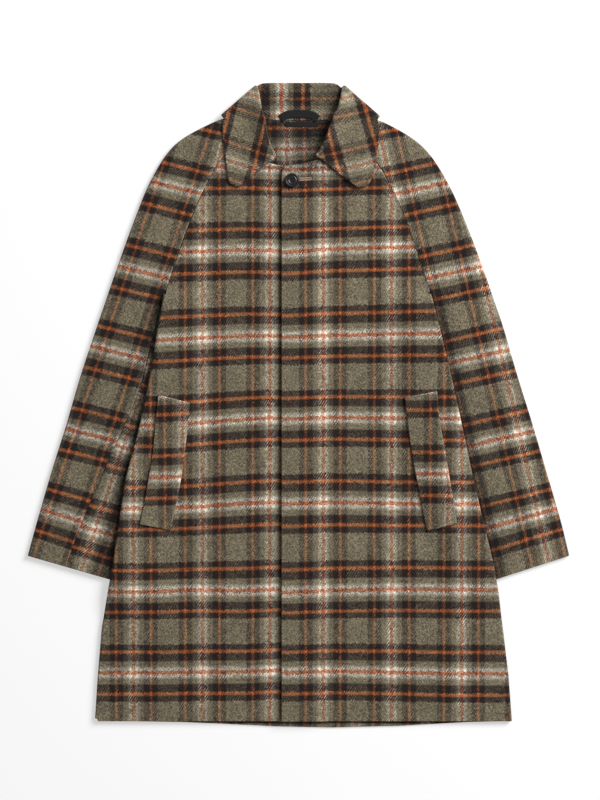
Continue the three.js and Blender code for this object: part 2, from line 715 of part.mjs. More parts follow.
// One half of the collar, from its front end over the upper layer, round the turn at the
// shoulder and under to the centre back
function collarHalf(side, front, rear, outer, upper, lower, steps) {
  const sign = side === 'left' ? -1 : 1;
  const ends = (row, mirror) => [
    flat(mirror * row.rollX, row.rollY),
    flat(mirror * row[`${outer}X`], row[`${outer}Y`]),
  ];
  const rows = refine(front, 2).map((row) => layRow(...ends(row, 1), upper, steps));
  const last = rows[rows.length - 1];
  const along = last[steps].point.clone().sub(last[0].point);
  const outward = flat(-along.y, along.x).normalize();
  if (outward.x * sign < 0) {
    outward.negate();
  }
  rows.push(...turnRows(last, upper, lower, outward, TURN_STEPS));
  for (const row of refine(rear, 2)) {
    rows.push(turnedOver(layRow(...ends(row, sign), lower, steps)));
  }
  return rows;
}

function addCollar() {
  const whole = (front, rear, outer, upper, lower, steps) => {
    const left = collarHalf('left', front.left, rear, outer, upper, lower, steps);
    const right = collarHalf('right', front.right, rear, outer, upper, lower, steps);
    return wall([...left, ...right.reverse().slice(1)], CLOTH);
  };
  addMesh('collar_fall', whole(LEAF, FALL_REAR, 'edge', leafHeight, onSurface, 5), WOOL_TURNED);
  const stand = whole(STAND_FRONT, STAND_REAR, 'seam', neckHeight, standRearHeight, 3);
  addMesh('collar_stand', stand, WOOL);
}

// A welt lies on its front, a layer above it, and gapes a little along its upper end
function addWelts() {
  for (const side of ['left', 'right']) {
    const rows = refine(WELTS[side], 2);
    const mouth = (y) => WELT_RISE * ramp(y, WELT_MOUTH.alongFrom, WELT_MOUTH.alongTo);
    const height = (x, y) => frontHeight(x, y) + LAYER + mouth(y);
    const grid = rows.map((row) => layRow(
      flat(row.outerX, row.outerY), flat(row.innerX, row.innerY), height, 3));
    addMesh(`pocket_welt_${side}`, wall(grid, CLOTH), WOOL_TURNED);
  }
}

// The hanger loop is a tape that arches over the stand from its two ends at the neck seam
function addLoop() {
  const { width, thick, endsX, endsY, topX, topY, middleX } = TAPE;
  const path = new THREE.SplineCurve([
    flat(middleX - endsX, endsY),
    flat(middleX - topX, topY),
    flat(middleX + topX, topY),
    flat(middleX + endsX, endsY),
  ]);
  const height = (x, y) => standRearHeight(x, y) + (CLOTH + thick) / 2 + SEAM_GAP;
  const steps = 16;
  const grid = [];
  for (let k = 0; k <= steps; k += 1) {
    const place = path.getPoint(k / steps);
    const tangent = path.getTangent(k / steps);
    const across = flat(-tangent.y, tangent.x).multiplyScalar(width / 2);
    grid.push(layRow(place.clone().add(across), place.clone().sub(across), height, 1));
  }
  addMesh('hanger_loop', wall(grid, thick), TAPE_BLACK);
}

function addLabel() {
  const { fromX, toX, topY, bottomY, thick } = LABEL;
  const height = (x, y) => backHeight(x, y) + (CLOTH + thick) / 2 + SEAM_GAP;
  const grid = [topY, bottomY].map((y) => layRow(flat(fromX, y), flat(toX, y), height, 4));
  addMesh('neck_label', wall(grid, thick), TAPE_BLACK);
}

// The button: a turned disc with a raised rim and a dished middle, and four thread holes
function addButton(manifold) {
  const { x, y, radius, thick, rim, holeRadius, holeOff } = BUTTON;
  const profile = [
    [0, 0], [radius - 2.2, 0], [radius - 0.5, 0.7], [radius, 1.7], [radius, thick - 1.3],
    [radius - 0.6, thick - 0.3], [radius - rim / 2, thick], [radius - rim, thick - 0.5],
    [radius - rim - 0.5, thick - 1.3], [0, thick - 1.6],
  ];
  const disc = new THREE.LatheGeometry(profile.map(([r, z]) => flat(r, z)), 28);
  disc.rotateX(Math.PI / 2);
  let body = solidOf(manifold, disc);
  for (const [signX, signY] of [[1, 1], [1, -1], [-1, 1], [-1, -1]]) {
    const hole = new THREE.CylinderGeometry(holeRadius, holeRadius, 3 * thick, 8);
    hole.rotateX(Math.PI / 2);
    hole.translate(signX * holeOff, signY * holeOff, 0);
    body = body.subtract(solidOf(manifold, hole));
  }
  const result = body.getMesh();
  const seat = placketHeight(x, y) + CLOTH / 2 + 2 * SEAM_GAP;
  const geometry = facingOut(Array.from(result.vertProperties), Array.from(result.triVerts));
  geometry.translate(x, y, seat);
  addMesh('button', geometry, BUTTON_BLACK);
}

// A manifold solid of a closed geometry
function solidOf(manifold, geometry) {
  const bare = geometry.clone();
  bare.deleteAttribute('normal');
  bare.deleteAttribute('uv');
  const merged = mergeVertices(bare, 1e-4);
  return new manifold.Manifold(new manifold.Mesh({
    numProp: 3,
    vertProperties: merged.attributes.position.array,
    triVerts: new Uint32Array(merged.index.array),
  }));
}

const manifold = await Module();
manifold.setup();

addFronts();
addBack();
addSleeve('left');
addSleeve('right');
addCollar();
addWelts();
addLoop();
addLabel();
addButton(manifold);

export default group;
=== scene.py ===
"""A long raglan overcoat of thick checked wool, laid flat with its front up and seen from above.

Metres, +Z up from the surface that it lies on, +Y towards the collar, X across the coat, with
the origin on the surface under the middle of the coat. Each piece of cloth is a thin closed
wall whose middle surface is worked out from the named sizes and the short tables below.
"""

import math

import bmesh
import bpy
import numpy as np
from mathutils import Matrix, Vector


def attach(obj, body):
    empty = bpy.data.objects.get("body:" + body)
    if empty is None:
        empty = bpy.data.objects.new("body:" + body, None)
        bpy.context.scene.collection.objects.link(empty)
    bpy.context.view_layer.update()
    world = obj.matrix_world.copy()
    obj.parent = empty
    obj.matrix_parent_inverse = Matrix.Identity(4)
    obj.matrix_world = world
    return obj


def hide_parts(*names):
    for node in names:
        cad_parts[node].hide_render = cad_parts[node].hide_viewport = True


bl_info = {
    "name": "Checked Wool Overcoat",
    "version": (1, 0, 0),
    "blender": (4, 5, 0),
    "location": "View3D > Sidebar > Overcoat",
    "description": "Builds a raglan overcoat of checked wool that lies flat",
    "category": "Add Mesh",
}

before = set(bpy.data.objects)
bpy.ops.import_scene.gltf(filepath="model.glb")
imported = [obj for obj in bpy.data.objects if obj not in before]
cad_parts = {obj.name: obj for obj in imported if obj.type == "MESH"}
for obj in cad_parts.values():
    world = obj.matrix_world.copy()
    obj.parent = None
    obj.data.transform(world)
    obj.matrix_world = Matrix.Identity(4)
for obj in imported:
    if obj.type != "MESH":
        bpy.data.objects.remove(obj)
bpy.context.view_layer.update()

# Cloth and how its layers lie
CLOTH = 0.0026
SEAM_GAP = 0.0003
LAYER = CLOTH + SEAM_GAP
FOLD_RADIUS = 0.0025
SLEEVE_LIFT = 0.0083
FALL_LIFT = 0.0033
PLACKET_LIFT = 0.0042
LEAF_LIFT = 0.0035
STAND_RISE = 0.0018
LEAF_TIP_LIFT = 0.0045
WELT_RISE = 0.0004

# Lengths along the coat and places of the fronts' middle
UNDERARM_Y = 0.19
CUFF_Y = -0.304
HEM_Y = -0.543
HEM_FLARE = 1.56
HEM_CORNER = 0.0045
PLACKET_X = -0.0292

# How finely the grids are cut: rows down a piece and points across it
RIM_STEPS = 4
TURN_STEPS = 7
BODY_ROWS = 230
YOKE_SHARE = 0.3
YOKE_LEVEL = 0.182
SHOULDER_ROWS = 56
UPPER_COUNTS = (36, 11, 30)
UNDER_COUNTS = (24, 11, 24)
COLLAR_FRONT_ROWS = 70
COLLAR_REAR_ROWS = 50
COLLAR_TURN_STEPS = 12

# Trims: places of the button, its hole and the edge stitching, and the tapes' sizes
BUTTON_X, BUTTON_Y = -0.011, 0.3849
BUTTONHOLE = ((0.0021, 0.3865), (0.0198, 0.3875))
STITCH_X = -0.0198
STITCH_PITCH = 0.0042
STITCH_LENGTH = 0.003
STITCH_RADIUS = 0.0003
STITCH_SINK = 0.0004
HOLE_OFFSET = 0.0022
DIMPLE_DEPTH = 0.0016
LIP_INNER = 0.0007
LIP_OUTER = 0.0028
TAPE_THICK = 0.0014
# The loop's black tape is laid wide enough to cover the shade inside the loop too: partly the
# tape itself, partly painted shade
LOOP_WIDTH = 0.014
LABEL_THICK = 0.0008

# How the check lies on the back and the collar, and how its twill looks
BACK_SHIFT = (0.0616, -0.036)
COLLAR_LINE = 20
STAND_POINTS = 14
ROLL_STEPS = 9
FALL_POINTS = 34
STAND_END = STAND_POINTS - 1
FALL_START = STAND_END + ROLL_STEPS - 1
ROLL_MIDDLE = (STAND_END + FALL_START) // 2
STAND_RED = (0.0535, -0.029)
STAND_SEAM = 6
STAND_GROOVE = 0.0006
GROOVE_LEAN = (0.4, 0.9)
ROLL_RISE = 0.0078
ROLL_WIDTH = 0.02
ROLL_FULL_ROWS = (22, 52)
DRAWN_FROM_ROW = 80
# The lines on each leaf over x, y and 1: first across it, then along it
LEAF_LINES = {
    "left": np.array([(0.3256, 0.9455, -0.4755), (-1.0673, 0.2661, -0.1525)]),
    "right": np.array([(0.2334, -0.9724, 0.4929), (0.9348, 0.2769, -0.1394)]),
}

# The twill and nap. A noise has a scale, a detail, a roughness and a distortion
FUZZ = (330.0, 2.0, 0.7)
CLOUD = (45.0, 3.0, 0.55)
CURL = (170.0, 2.0, 0.6, 1.2)
EDGE_SHIFT = {"twill": 0.0003, "fuzz": 0.006, "curl": 0.0015}
# NAP_LIGHT's edge share scales the edge attribute: lighter borders, and painted shade where it
# is negative
NAP_LIGHT = {"base": 0.97, "fuzz": 1.5, "cloud": 0.3, "hairs": 0.2, "edge": 0.08}
NAP_RELIEF = {"fuzz": 0.0012, "hairs": 0.0003, "twill": 0.0002}
TWILL_PITCH = 0.007
TWILL_SLOPE = 1.6
WARP_SHARE = 0.34
STRIPE_FADE = 0.0012
PALE_FADE = 0.0028
WEFT_PALE = 0.945
WARP_LIFT = {"red": 1.14, "orange": 1.12, "cream": 1.04}
PALE_OVER = 0.22
PALE_LIGHT = 0.6
EDGE_THREAD = (0.05, 0.035, 0.025)

# Painted shade: the wool's colour is darkened where shade falls, in the neck well, under the
# collar and beside the body's edges. A pair is the places between which the shade grows
PAINTED_SHADE_STRENGTH = 3.6
PAINTED_SHADE_WIDTH = 0.02
SLEEVE_PAINTED_SHADE = 1.5
SLEEVE_PAINTED_SHADE_Y = (0.225, 0.17)
FRONT_PAINTED_SHADE_X = (0.08, 0.05)
FRONT_PAINTED_SHADE_Y = (0.38, 0.415)
FRONT_PAINTED_SHADE_RIGHT_X = (0.0, 0.03)
BACK_PAINTED_SHADE = 0.9
BACK_PAINTED_SHADE_Y = (0.405, 0.44)
BACK_PAINTED_SHADE_RIGHT_X = (0.0, 0.05)
RIGHT_PAINTED_SHADE = 0.5
COLLAR_PAINTED_SHADE = (0.2, 0.6)
COLLAR_PAINTED_SHADE_X = (0.04, 0.063)
STAND_FOOT_PAINTED_SHADE = (0.8, 0.5, 0.2)

# The studio: floor, lights and the camera's view of the coat
FLOOR_SIZE = 40.0
KEY_LIGHT = (3.3, 2.5, 2.6)
KEY_POWER = 315.0
FILL_LIGHT = (-1.8, -1.2, 3.0)
FILL_POWER = 8.0
WORLD_LIGHT = 0.2
FLOOR_TONE = 0.6
FLOOR_GLOW = 0.49
CAMERA_LENS = 85.0
CAMERA_SENSOR = 36.0
VIEW_X, VIEW_Y = 0.0026, 0.0086
VIEW_LENGTH = 1.376

# y, left, right
SIDES = np.array([
    (0.19, -0.231, 0.228),
    (0.13, -0.242, 0.243),
    (0.06, -0.253, 0.26),
    (-0.042, -0.274, 0.282),
    (-0.127, -0.297, 0.3),
    (-0.2, -0.308, 0.317),
    (-0.27, -0.318, 0.334),
    (-0.32, -0.327, 0.343),
    (-0.382, -0.338, 0.351),
    (-0.465, -0.345, 0.361),
    (-0.56, -0.351, 0.368),
])
# x, y
BACK_HEM = np.array([
    (-0.351, -0.543),
    (-0.23, -0.545),
    (-0.06, -0.5525),
    (0.06, -0.5544),
    (0.18, -0.5515),
    (0.29, -0.545),
    (0.368, -0.543),
])
# leftX, leftY, rightX, rightY
RAGLAN = np.array([
    (-0.0834, 0.4558, 0.0817, 0.4558),
    (-0.1299, 0.4248, 0.1333, 0.4162),
    (-0.1591, 0.3767, 0.1608, 0.3681),
    (-0.1797, 0.332, 0.1797, 0.3285),
    (-0.203, 0.27, 0.201, 0.272),
    (-0.2296, 0.1909, 0.2262, 0.1909),
])
# leftX, leftY, rightX, rightY
SHOULDER = np.array([
    (-0.1058, 0.498, 0.1058, 0.498),
    (-0.15, 0.4835, 0.152, 0.4825),
    (-0.212, 0.447, 0.212, 0.445),
    (-0.252, 0.389, 0.2525, 0.389),
    (-0.2812, 0.3199, 0.2847, 0.3199),
    (-0.316, 0.224, 0.3205, 0.226),
])
# x, y
BACK_RAGLAN = np.array([
    (0.08, 0.4928),
    (0.128, 0.44),
    (0.158, 0.38),
    (0.18, 0.33),
    (0.203, 0.268),
    (0.2265, 0.1909),
])
# x, y
OVERLAP_TOP = np.array([
    (-0.0292, 0.394),
    (-0.027, 0.407),
    (-0.018, 0.4105),
    (0.004, 0.413),
    (0.024, 0.418),
])
# x, y
UNDERLAP_TOP = np.array([
    (0.018, 0.408),
    (0.002, 0.408),
    (-0.017, 0.409),
    (-0.03, 0.411),
])
# leftX, leftY, rightX, rightY
FRONT_NECK = np.array([
    (-0.0456, 0.414, 0.036, 0.421),
    (-0.0628, 0.4266, 0.058, 0.433),
    (-0.0834, 0.4558, 0.0817, 0.4558),
])
# x, y
BACK_NECK = np.array([
    (0.08, 0.4928),
    (0.0559, 0.4885),
    (0, 0.4876),
])
# seamX, seamY, rollX, rollY
STAND_REAR = np.array([
    (0.1025, 0.498, 0.0735, 0.5415),
    (0.084, 0.4945, 0.064, 0.548),
    (0.062, 0.4903, 0.0475, 0.5492),
    (0.031, 0.4887, 0.0238, 0.5492),
    (0, 0.4884, 0, 0.5492),
])
# rollX, rollY, edgeX, edgeY
FALL_REAR = np.array([
    (0.075, 0.542, 0.1285, 0.489),
    (0.065, 0.5483, 0.103, 0.48),
    (0.048, 0.5498, 0.07, 0.4745),
    (0.024, 0.5498, 0.033, 0.471),
    (0, 0.5498, 0, 0.47),
])
# fromX, fromY, toX, toY, width, height
FOLDS = np.array([
    (-0.034, 0.83, -0.034, -0.75, 0.0028, -0.0016),
    (0.04, 0.33, 0.07, -0.48, 0.034, 0.0012),
    (-0.095, 0.3, -0.12, -0.12, 0.04, 0.0011),
    (0.15, 0.18, 0.11, -0.3, 0.03, -0.0012),
    (-0.19, 0.23, -0.16, 0.06, 0.022, 0.0012),
    (0.185, 0.21, 0.15, 0.02, 0.02, 0.0012),
    (-0.21, -0.33, -0.235, -0.52, 0.03, 0.0013),
    (0.24, -0.3, 0.27, -0.52, 0.034, 0.0012),
    (-0.25, 0.33, -0.33, 0.06, 0.026, 0.0011),
    (-0.33, 0.04, -0.4, -0.17, 0.022, -0.0011),
    (0.25, 0.32, 0.34, 0.04, 0.026, -0.001),
    (0.345, 0.04, 0.4, -0.19, 0.022, 0.0012),
])
SLEEVES = {
    # outerX, outerY, innerX, innerY, front, back
    "left": np.array([
        (-0.316, 0.224, -0.227, 0.188, 0, 0),
        (-0.331, 0.18, -0.229, 0.152, 0.08, 0.12),
        (-0.3466, 0.1342, -0.233, 0.098, 0.16, 0.2),
        (-0.3741, 0.0516, -0.239, 0.003, 0.27, 0.22),
        (-0.3982, -0.031, -0.262, -0.082, 0.36, 0.24),
        (-0.424, -0.1135, -0.284, -0.16, 0.44, 0.24),
        (-0.4481, -0.1961, -0.301, -0.243, 0.53, 0.22),
        (-0.4653, -0.259, -0.311, -0.303, 0.575, 0.2),
    ]),
    # outerX, outerY, innerX, innerY, front, back
    "right": np.array([
        (0.3205, 0.226, 0.214, 0.188, 0, 0),
        (0.336, 0.18, 0.2287, 0.152, 0.02, 0.2),
        (0.3517, 0.1342, 0.2365, 0.098, 0.04, 0.32),
        (0.3758, 0.0516, 0.246, 0.003, 0.04, 0.42),
        (0.4016, -0.031, 0.268, -0.082, 0.04, 0.48),
        (0.4257, -0.1135, 0.29, -0.16, 0.04, 0.54),
        (0.4498, -0.1961, 0.314, -0.243, 0.04, 0.58),
        (0.4653, -0.259, 0.327, -0.303, 0.04, 0.6),
    ]),
}
STAND_FRONT = {
    # seamX, seamY, rollX, rollY
    "left": np.array([
        (-0.045, 0.4152, -0.04, 0.426),
        (-0.062, 0.4276, -0.0535, 0.456),
        (-0.0825, 0.457, -0.0625, 0.488),
        (-0.094, 0.4785, -0.066, 0.508),
        (-0.1025, 0.496, -0.0705, 0.542),
    ]),
    # seamX, seamY, rollX, rollY
    "right": np.array([
        (0.0354, 0.4222, 0.0325, 0.4285),
        (0.0572, 0.4342, 0.049, 0.458),
        (0.0808, 0.457, 0.061, 0.486),
        (0.094, 0.479, 0.0705, 0.512),
        (0.1025, 0.496, 0.0758, 0.542),
    ]),
}
LEAF = {
    # rollX, rollY, edgeX, edgeY
    "left": np.array([
        (-0.04, 0.423, -0.102, 0.3736),
        (-0.0505, 0.446, -0.1189, 0.3825),
        (-0.0573, 0.469, -0.124, 0.416),
        (-0.0618, 0.491, -0.1283, 0.45),
        (-0.0665, 0.516, -0.131, 0.474),
        (-0.0712, 0.542, -0.1285, 0.4925),
    ]),
    # rollX, rollY, edgeX, edgeY
    "right": np.array([
        (0.032, 0.425, 0.101, 0.3726),
        (0.0457, 0.4465, 0.121, 0.3795),
        (0.0551, 0.4695, 0.134, 0.416),
        (0.0626, 0.491, 0.137, 0.451),
        (0.0735, 0.52, 0.1385, 0.474),
        (0.0765, 0.542, 0.1355, 0.4905),
    ]),
}
WELTS = {
    # outerX, outerY, innerX, innerY
    "left": np.array([
        (-0.2399, 0.0177, -0.186, 0.0035),
        (-0.2445, -0.028, -0.1905, -0.042),
        (-0.249, -0.076, -0.196, -0.09),
        (-0.258, -0.134, -0.204, -0.142),
        (-0.2716, -0.2043, -0.2193, -0.215),
    ]),
    # outerX, outerY, innerX, innerY
    "right": np.array([
        (0.237, 0.0237, 0.182, 0.013),
        (0.242, -0.028, 0.1885, -0.042),
        (0.2505, -0.076, 0.197, -0.098),
        (0.2595, -0.13, 0.2075, -0.152),
        (0.2714, -0.2024, 0.2202, -0.2172),
    ]),
}

# The check: repeats and half widths of its stripes from the middle of a red line outwards
WARP_REPEAT = 0.118
WEFT_REPEAT = 0.145
WARP_STRIPES = (
    (0.0029, "red"),
    (0.0089, "cream"),
    (0.0177, "olive"),
    (0.0277, "dark"),
    (0.0322, "orange"),
    (0.0413, "dark"),
    (0.0590, "olive"),
)
WEFT_STRIPES = (
    (0.0031, "red"),
    (0.0099, "pale"),
    (0.0203, "olive"),
    (0.0338, "dark"),
    (0.0398, "orange"),
    (0.0497, "dark"),
    (0.0725, "olive"),
)

# Red warp lines across the fronts, and red weft lines down them at four places across
RED_WARP = {
    "left": np.array([-0.2829, -0.1643, -0.0495]),
    "right": np.array([0.0421, 0.1598, 0.2798, 0.3947]),
}
RED_WEFT = {
    "left": {
        "across": np.array([-0.2382, -0.178, -0.092, -0.0421]),
        "along": np.array([
            (0.4085, 0.4085, 0.4085, 0.407),
            (0.2614, 0.2632, 0.2659, 0.2645),
            (0.1109, 0.1146, 0.1187, 0.1187),
            (-0.0344, -0.0311, -0.0244, -0.0222),
            (-0.1772, -0.1751, -0.1686, -0.1663),
            (-0.3199, -0.3177, -0.3187, -0.3167),
            (-0.4594, -0.4582, -0.4579, -0.4555),
        ]),
    },
    "right": {
        "across": np.array([-0.0181, 0.0542, 0.1746, 0.2606]),
        "along": np.array([
            (0.403, 0.405, 0.409, 0.412),
            (0.2618, 0.2678, 0.2711, 0.2743),
            (0.1163, 0.1192, 0.1221, 0.123),
            (-0.0241, -0.0212, -0.0229, -0.0232),
            (-0.1692, -0.1668, -0.1694, -0.1694),
            (-0.3215, -0.3185, -0.3161, -0.3167),
            (-0.4586, -0.4567, -0.4589, -0.4611),
        ]),
    },
}
WELT_SHIFT = {"left": (0.0344, -0.0537), "right": (0.0236, -0.0516)}

# How the check lies on each sleeve: its grain's turn from the coat's length, a point on it,
# the red weft lines' distances along it, and how the red warp line runs
GRAIN = {
    "left": {"turn": math.radians(18.3), "point": (-0.3242, 0.1118), "slope": 0.079,
             "lines": np.array([-0.2817, -0.1269, 0.0181, 0.1664, 0.3126]),
             "red": (-0.0366, 0.0), "under_red": (0.0815, -0.008), "under_step": 0.007},
    "right": {"turn": math.radians(-17.3), "point": (0.3294, 0.1118), "slope": -0.079,
              "lines": np.array([-0.2808, -0.1269, 0.0237, 0.1699, 0.3096]),
              "red": (0.012, -0.0745), "under_red": (-0.05, -0.07), "under_step": 0.005},
}


def ramp(value, start, end):
    """0 up to start and 1 past end, between them 3t^2 - 2t^3 of the share t of the way."""
    share = np.clip((value - start) / (end - start), 0, 1)
    return share * share * (3 - 2 * share)


def read_table(table, over, value, column):
    """A table's column as a piecewise line over another of its columns, held at its ends."""
    order = np.argsort(table[:, over])
    return np.interp(value, table[order, over], table[order, column])


def smooth_rows(rows, at):
    """Points of a Catmull-Rom curve through the rows, at row numbers that may be fractions."""
    rows = np.asarray(rows, float)
    first = np.clip(np.floor(at).astype(int), 0, len(rows) - 2)
    share = (at - first)[:, None]
    before, start, end = rows[np.maximum(first - 1, 0)], rows[first], rows[first + 1]
    after = rows[np.minimum(first + 2, len(rows) - 1)]
    leave, arrive = (end - before) / 2, (after - start) / 2
    cubic = 2 * (start - end) + leave + arrive
    square = 3 * (end - start) - 2 * leave - arrive
    return ((cubic * share + square) * share + leave) * share + start


def evenly(rows, count):
    """The given number of points on the smooth curve through a table, by equal row steps."""
    return smooth_rows(rows, np.linspace(0, len(rows) - 1, count))


def ridge_height(ridges, x, y):
    """Sum of soft ridges: each is a bell across a straight line that fades out at its ends."""
    total = np.zeros(np.broadcast(x, y).shape)
    for from_x, from_y, to_x, to_y, width, height in ridges:
        dx, dy = to_x - from_x, to_y - from_y
        length = math.hypot(dx, dy)
        along = ((x - from_x) * dx + (y - from_y) * dy) / length**2
        across = ((x - from_x) * dy - (y - from_y) * dx) / length
        fade = ramp(along, -0.1, 0.25) * ramp(along, 1.1, 0.7)
        total = total + height * fade * np.exp(-((across / width) ** 2))
    return total


def sleeve_lift(x, y):
    """How far the body is raised over the sleeves' inner edges."""
    inner = np.where(
        x < 0,
        -read_table(SLEEVES["left"], 3, y, 2),
        read_table(SLEEVES["right"], 3, y, 2),
    )
    across = ramp(np.abs(x), inner - 0.098, inner - 0.014)
    below_top = ramp(y, UNDERARM_Y + 0.014, UNDERARM_Y - 0.01)
    above_cuff = ramp(y, CUFF_Y - 0.07, CUFF_Y - 0.004)
    return SLEEVE_LIFT * across * below_top * above_cuff


def sleeve_back_height(x, y):
    """Middle of a sleeve's lower side, raised where the collar passes under it."""
    over_fall = ramp(y, 0.32, 0.462) * ramp(np.abs(x), 0.23, 0.136)
    return CLOTH / 2 + FALL_LIFT * over_fall


def sleeve_front_height(x, y):
    """Middle of a sleeve's upper side."""
    return sleeve_back_height(x, y) + 2 * FOLD_RADIUS + ridge_height(FOLDS, x, y)


def back_height(x, y):
    """Middle of the back panel."""
    return sleeve_back_height(x, y) + sleeve_lift(x, y)


def front_height(x, y):
    """Middle of the fronts, with the large ridges and the small creases."""
    return back_height(x, y) + 2 * FOLD_RADIUS + ridge_height(FOLDS, x, y)


def placket_height(x, y):
    """The upper layer of the overlapping front, higher beside its edge."""
    return front_height(x, y) + PLACKET_LIFT * ramp(x, 0.062, 0.02)


def neck_height(x, y):
    """The uppermost front beside the neck."""
    return np.where(x > 0, placket_height(x, y), front_height(x, y))


def leaf_height(x, y):
    """Middle of the collar leaves, the right-hand one's tip standing up a little."""
    tip = ramp(x, 0.06, 0.112) * ramp(y, 0.44, 0.372)
    return neck_height(x, y) + LEAF_LIFT + LEAF_TIP_LIFT * tip


def stand_rear_height(x, y):
    """Middle of the stand behind the neck, rising towards its top fold."""
    return back_height(x, y) + STAND_RISE * ramp(y, 0.5, 0.545)


def floor_height(x, y):
    """Middle of a layer of cloth that lies on the surface."""
    return np.full(np.broadcast(x, y).shape, CLOTH / 2)


def lay(plan, height):
    """Plan points as points of a middle surface on a height."""
    x, y = plan[..., 0], plan[..., 1]
    return np.stack([x, y, height(x, y)], axis=-1)


def unit(vectors):
    """Vectors divided by their lengths."""
    return vectors / np.maximum(np.linalg.norm(vectors, axis=-1, keepdims=True), 1e-12)


def dot(a, b):
    """Scalar products along the last axis, kept as an axis of one."""
    return np.sum(a * b, axis=-1, keepdims=True)


def wall_mesh(name, points, thick, check, painted_shade=None):
    """A closed wall round a grid of middle points, with half-round edges.

    The faces lie half the thickness to each side along the grid's normals. The border is
    drawn in by half the thickness, and half circles from one face to the other bring it
    back to where it was. check holds each point's two cloth coordinates, kept as a UV map,
    and the attribute edge is 1 along the border, 0 elsewhere, and negative for painted shade.
    """
    rows, columns = points.shape[:2]
    down = np.gradient(points, axis=0)
    across = np.gradient(points, axis=1)
    normals = unit(np.cross(down, across))
    outward = np.zeros_like(points)
    square_down = down - across * dot(down, across) / dot(across, across)
    square_across = across - down * dot(down, across) / dot(down, down)
    outward[0] -= unit(square_down[0])
    outward[-1] += unit(square_down[-1])
    outward[:, 0] -= unit(square_across[:, 0])
    outward[:, -1] += unit(square_across[:, -1])
    half = thick / 2
    inner = points - outward * half
    number = np.arange(rows * columns).reshape(rows, columns)
    ring = np.concatenate([number[0, :-1], number[:-1, -1], number[-1, :0:-1], number[:0:-1, 0]])
    turn = np.pi * np.arange(1, RIM_STEPS) / RIM_STEPS
    flat_inner, flat_normal = inner.reshape(-1, 3), normals.reshape(-1, 3)
    flat_outward = outward.reshape(-1, 3)
    rim = (
        flat_inner[ring][None]
        + half * np.sin(turn)[:, None, None] * flat_outward[ring][None]
        + half * np.cos(turn)[:, None, None] * flat_normal[ring][None]
    )
    count = rows * columns
    vertices = np.concatenate(
        [flat_inner + half * flat_normal, flat_inner - half * flat_normal, rim.reshape(-1, 3)]
    )
    a, b = number[:-1, :-1].ravel(), number[1:, :-1].ravel()
    c, d = number[1:, 1:].ravel(), number[:-1, 1:].ravel()
    upper = np.stack([a, b, c, d], axis=1)
    lower = np.stack([a, d, c, b], axis=1) + count
    steps = len(turn)
    rim_number = 2 * count + np.arange(steps * len(ring)).reshape(steps, len(ring))
    levels = np.concatenate([ring[None], rim_number, ring[None] + count])
    after = np.roll(levels, -1, axis=1)
    sides = np.stack([levels[:-1], after[:-1], after[1:], levels[1:]], axis=-1).reshape(-1, 4)
    faces = np.concatenate([upper, lower, sides])
    corners = vertices[faces]
    spans = np.cross(corners[:, 1] - corners[:, 0], corners[:, 2] - corners[:, 0])
    if np.sum(corners[:, 0] * spans) < 0:
        faces = faces[:, ::-1]
    # Painted shade: negative edge values darken the wool's colour by the given shade amounts
    border = np.zeros(count) if painted_shade is None else -PAINTED_SHADE_STRENGTH * painted_shade.reshape(-1)
    border[ring] += 1
    cloth = np.concatenate([check.reshape(-1, 2)] * 2 + [check.reshape(-1, 2)[ring]] * steps)
    edge = np.concatenate([border, border, np.tile(border[ring], steps)])
    return make_mesh(name, vertices, faces, cloth, edge)


def make_mesh(name, vertices, faces, cloth=None, edge=None):
    """A mesh object of four-sided faces with its cloth coordinates and its "edge" values."""
    mesh = bpy.data.meshes.new(name)
    mesh.vertices.add(len(vertices))
    mesh.vertices.foreach_set("co", vertices.astype(np.float32).ravel())
    mesh.loops.add(faces.size)
    mesh.loops.foreach_set("vertex_index", faces.astype(np.int32).ravel())
    mesh.polygons.add(len(faces))
    mesh.polygons.foreach_set("loop_start", np.arange(0, faces.size, 4, dtype=np.int32))
    mesh.polygons.foreach_set("use_smooth", np.ones(len(faces), dtype=bool))
    mesh.update(calc_edges=True)
    mesh.validate()
    if cloth is not None:
        layer = mesh.uv_layers.new(name="check")
        layer.data.foreach_set("uv", cloth[faces.ravel()].astype(np.float32).ravel())
    if edge is not None:
        attribute = mesh.attributes.new("edge", "FLOAT", "POINT")
        attribute.data.foreach_set("value", edge.astype(np.float32))
    piece = bpy.data.objects.new(name, mesh)
    bpy.context.scene.collection.objects.link(piece)
    return piece


def finish_piece(piece, material, slot, *nodes):
    """Gives a piece its material, ties it to the coat's body, and hides the imported nodes it
    stands for.
    """
    piece.data.materials.append(material)
    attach(piece, "root")
    if nodes:
        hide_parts(*nodes)


def line_coordinate(value, lines, repeat):
    """Cloth coordinate between measured lines: whole repeats on them, even steps between."""
    places = np.concatenate([[lines[0] - 9 * repeat], lines, [lines[-1] + 9 * repeat]])
    marks = np.concatenate([[-9], np.arange(len(lines)), [len(lines) + 8]]) * repeat
    return np.interp(value, places, marks)


def body_check(x, y, side, shift=(0.0, 0.0)):
    """Cloth coordinates on the body: across between the red warp lines, and down between the
    red weft lines, whose heights are read off at four places across. A shift moves the lines
    to the left and down."""
    across = line_coordinate(x + shift[0], RED_WARP[side], WARP_REPEAT)
    table = RED_WEFT[side]
    lines = [np.interp(x, table["across"], row) for row in table["along"]]
    height = y + shift[1]
    along = np.maximum(lines[-1] - height, 0) - np.maximum(height - lines[0], 0)
    for above, below in zip(lines, lines[1:]):
        along = along + WEFT_REPEAT * np.clip((above - height) / (above - below), 0, 1)
    return np.stack([across, along], axis=-1)


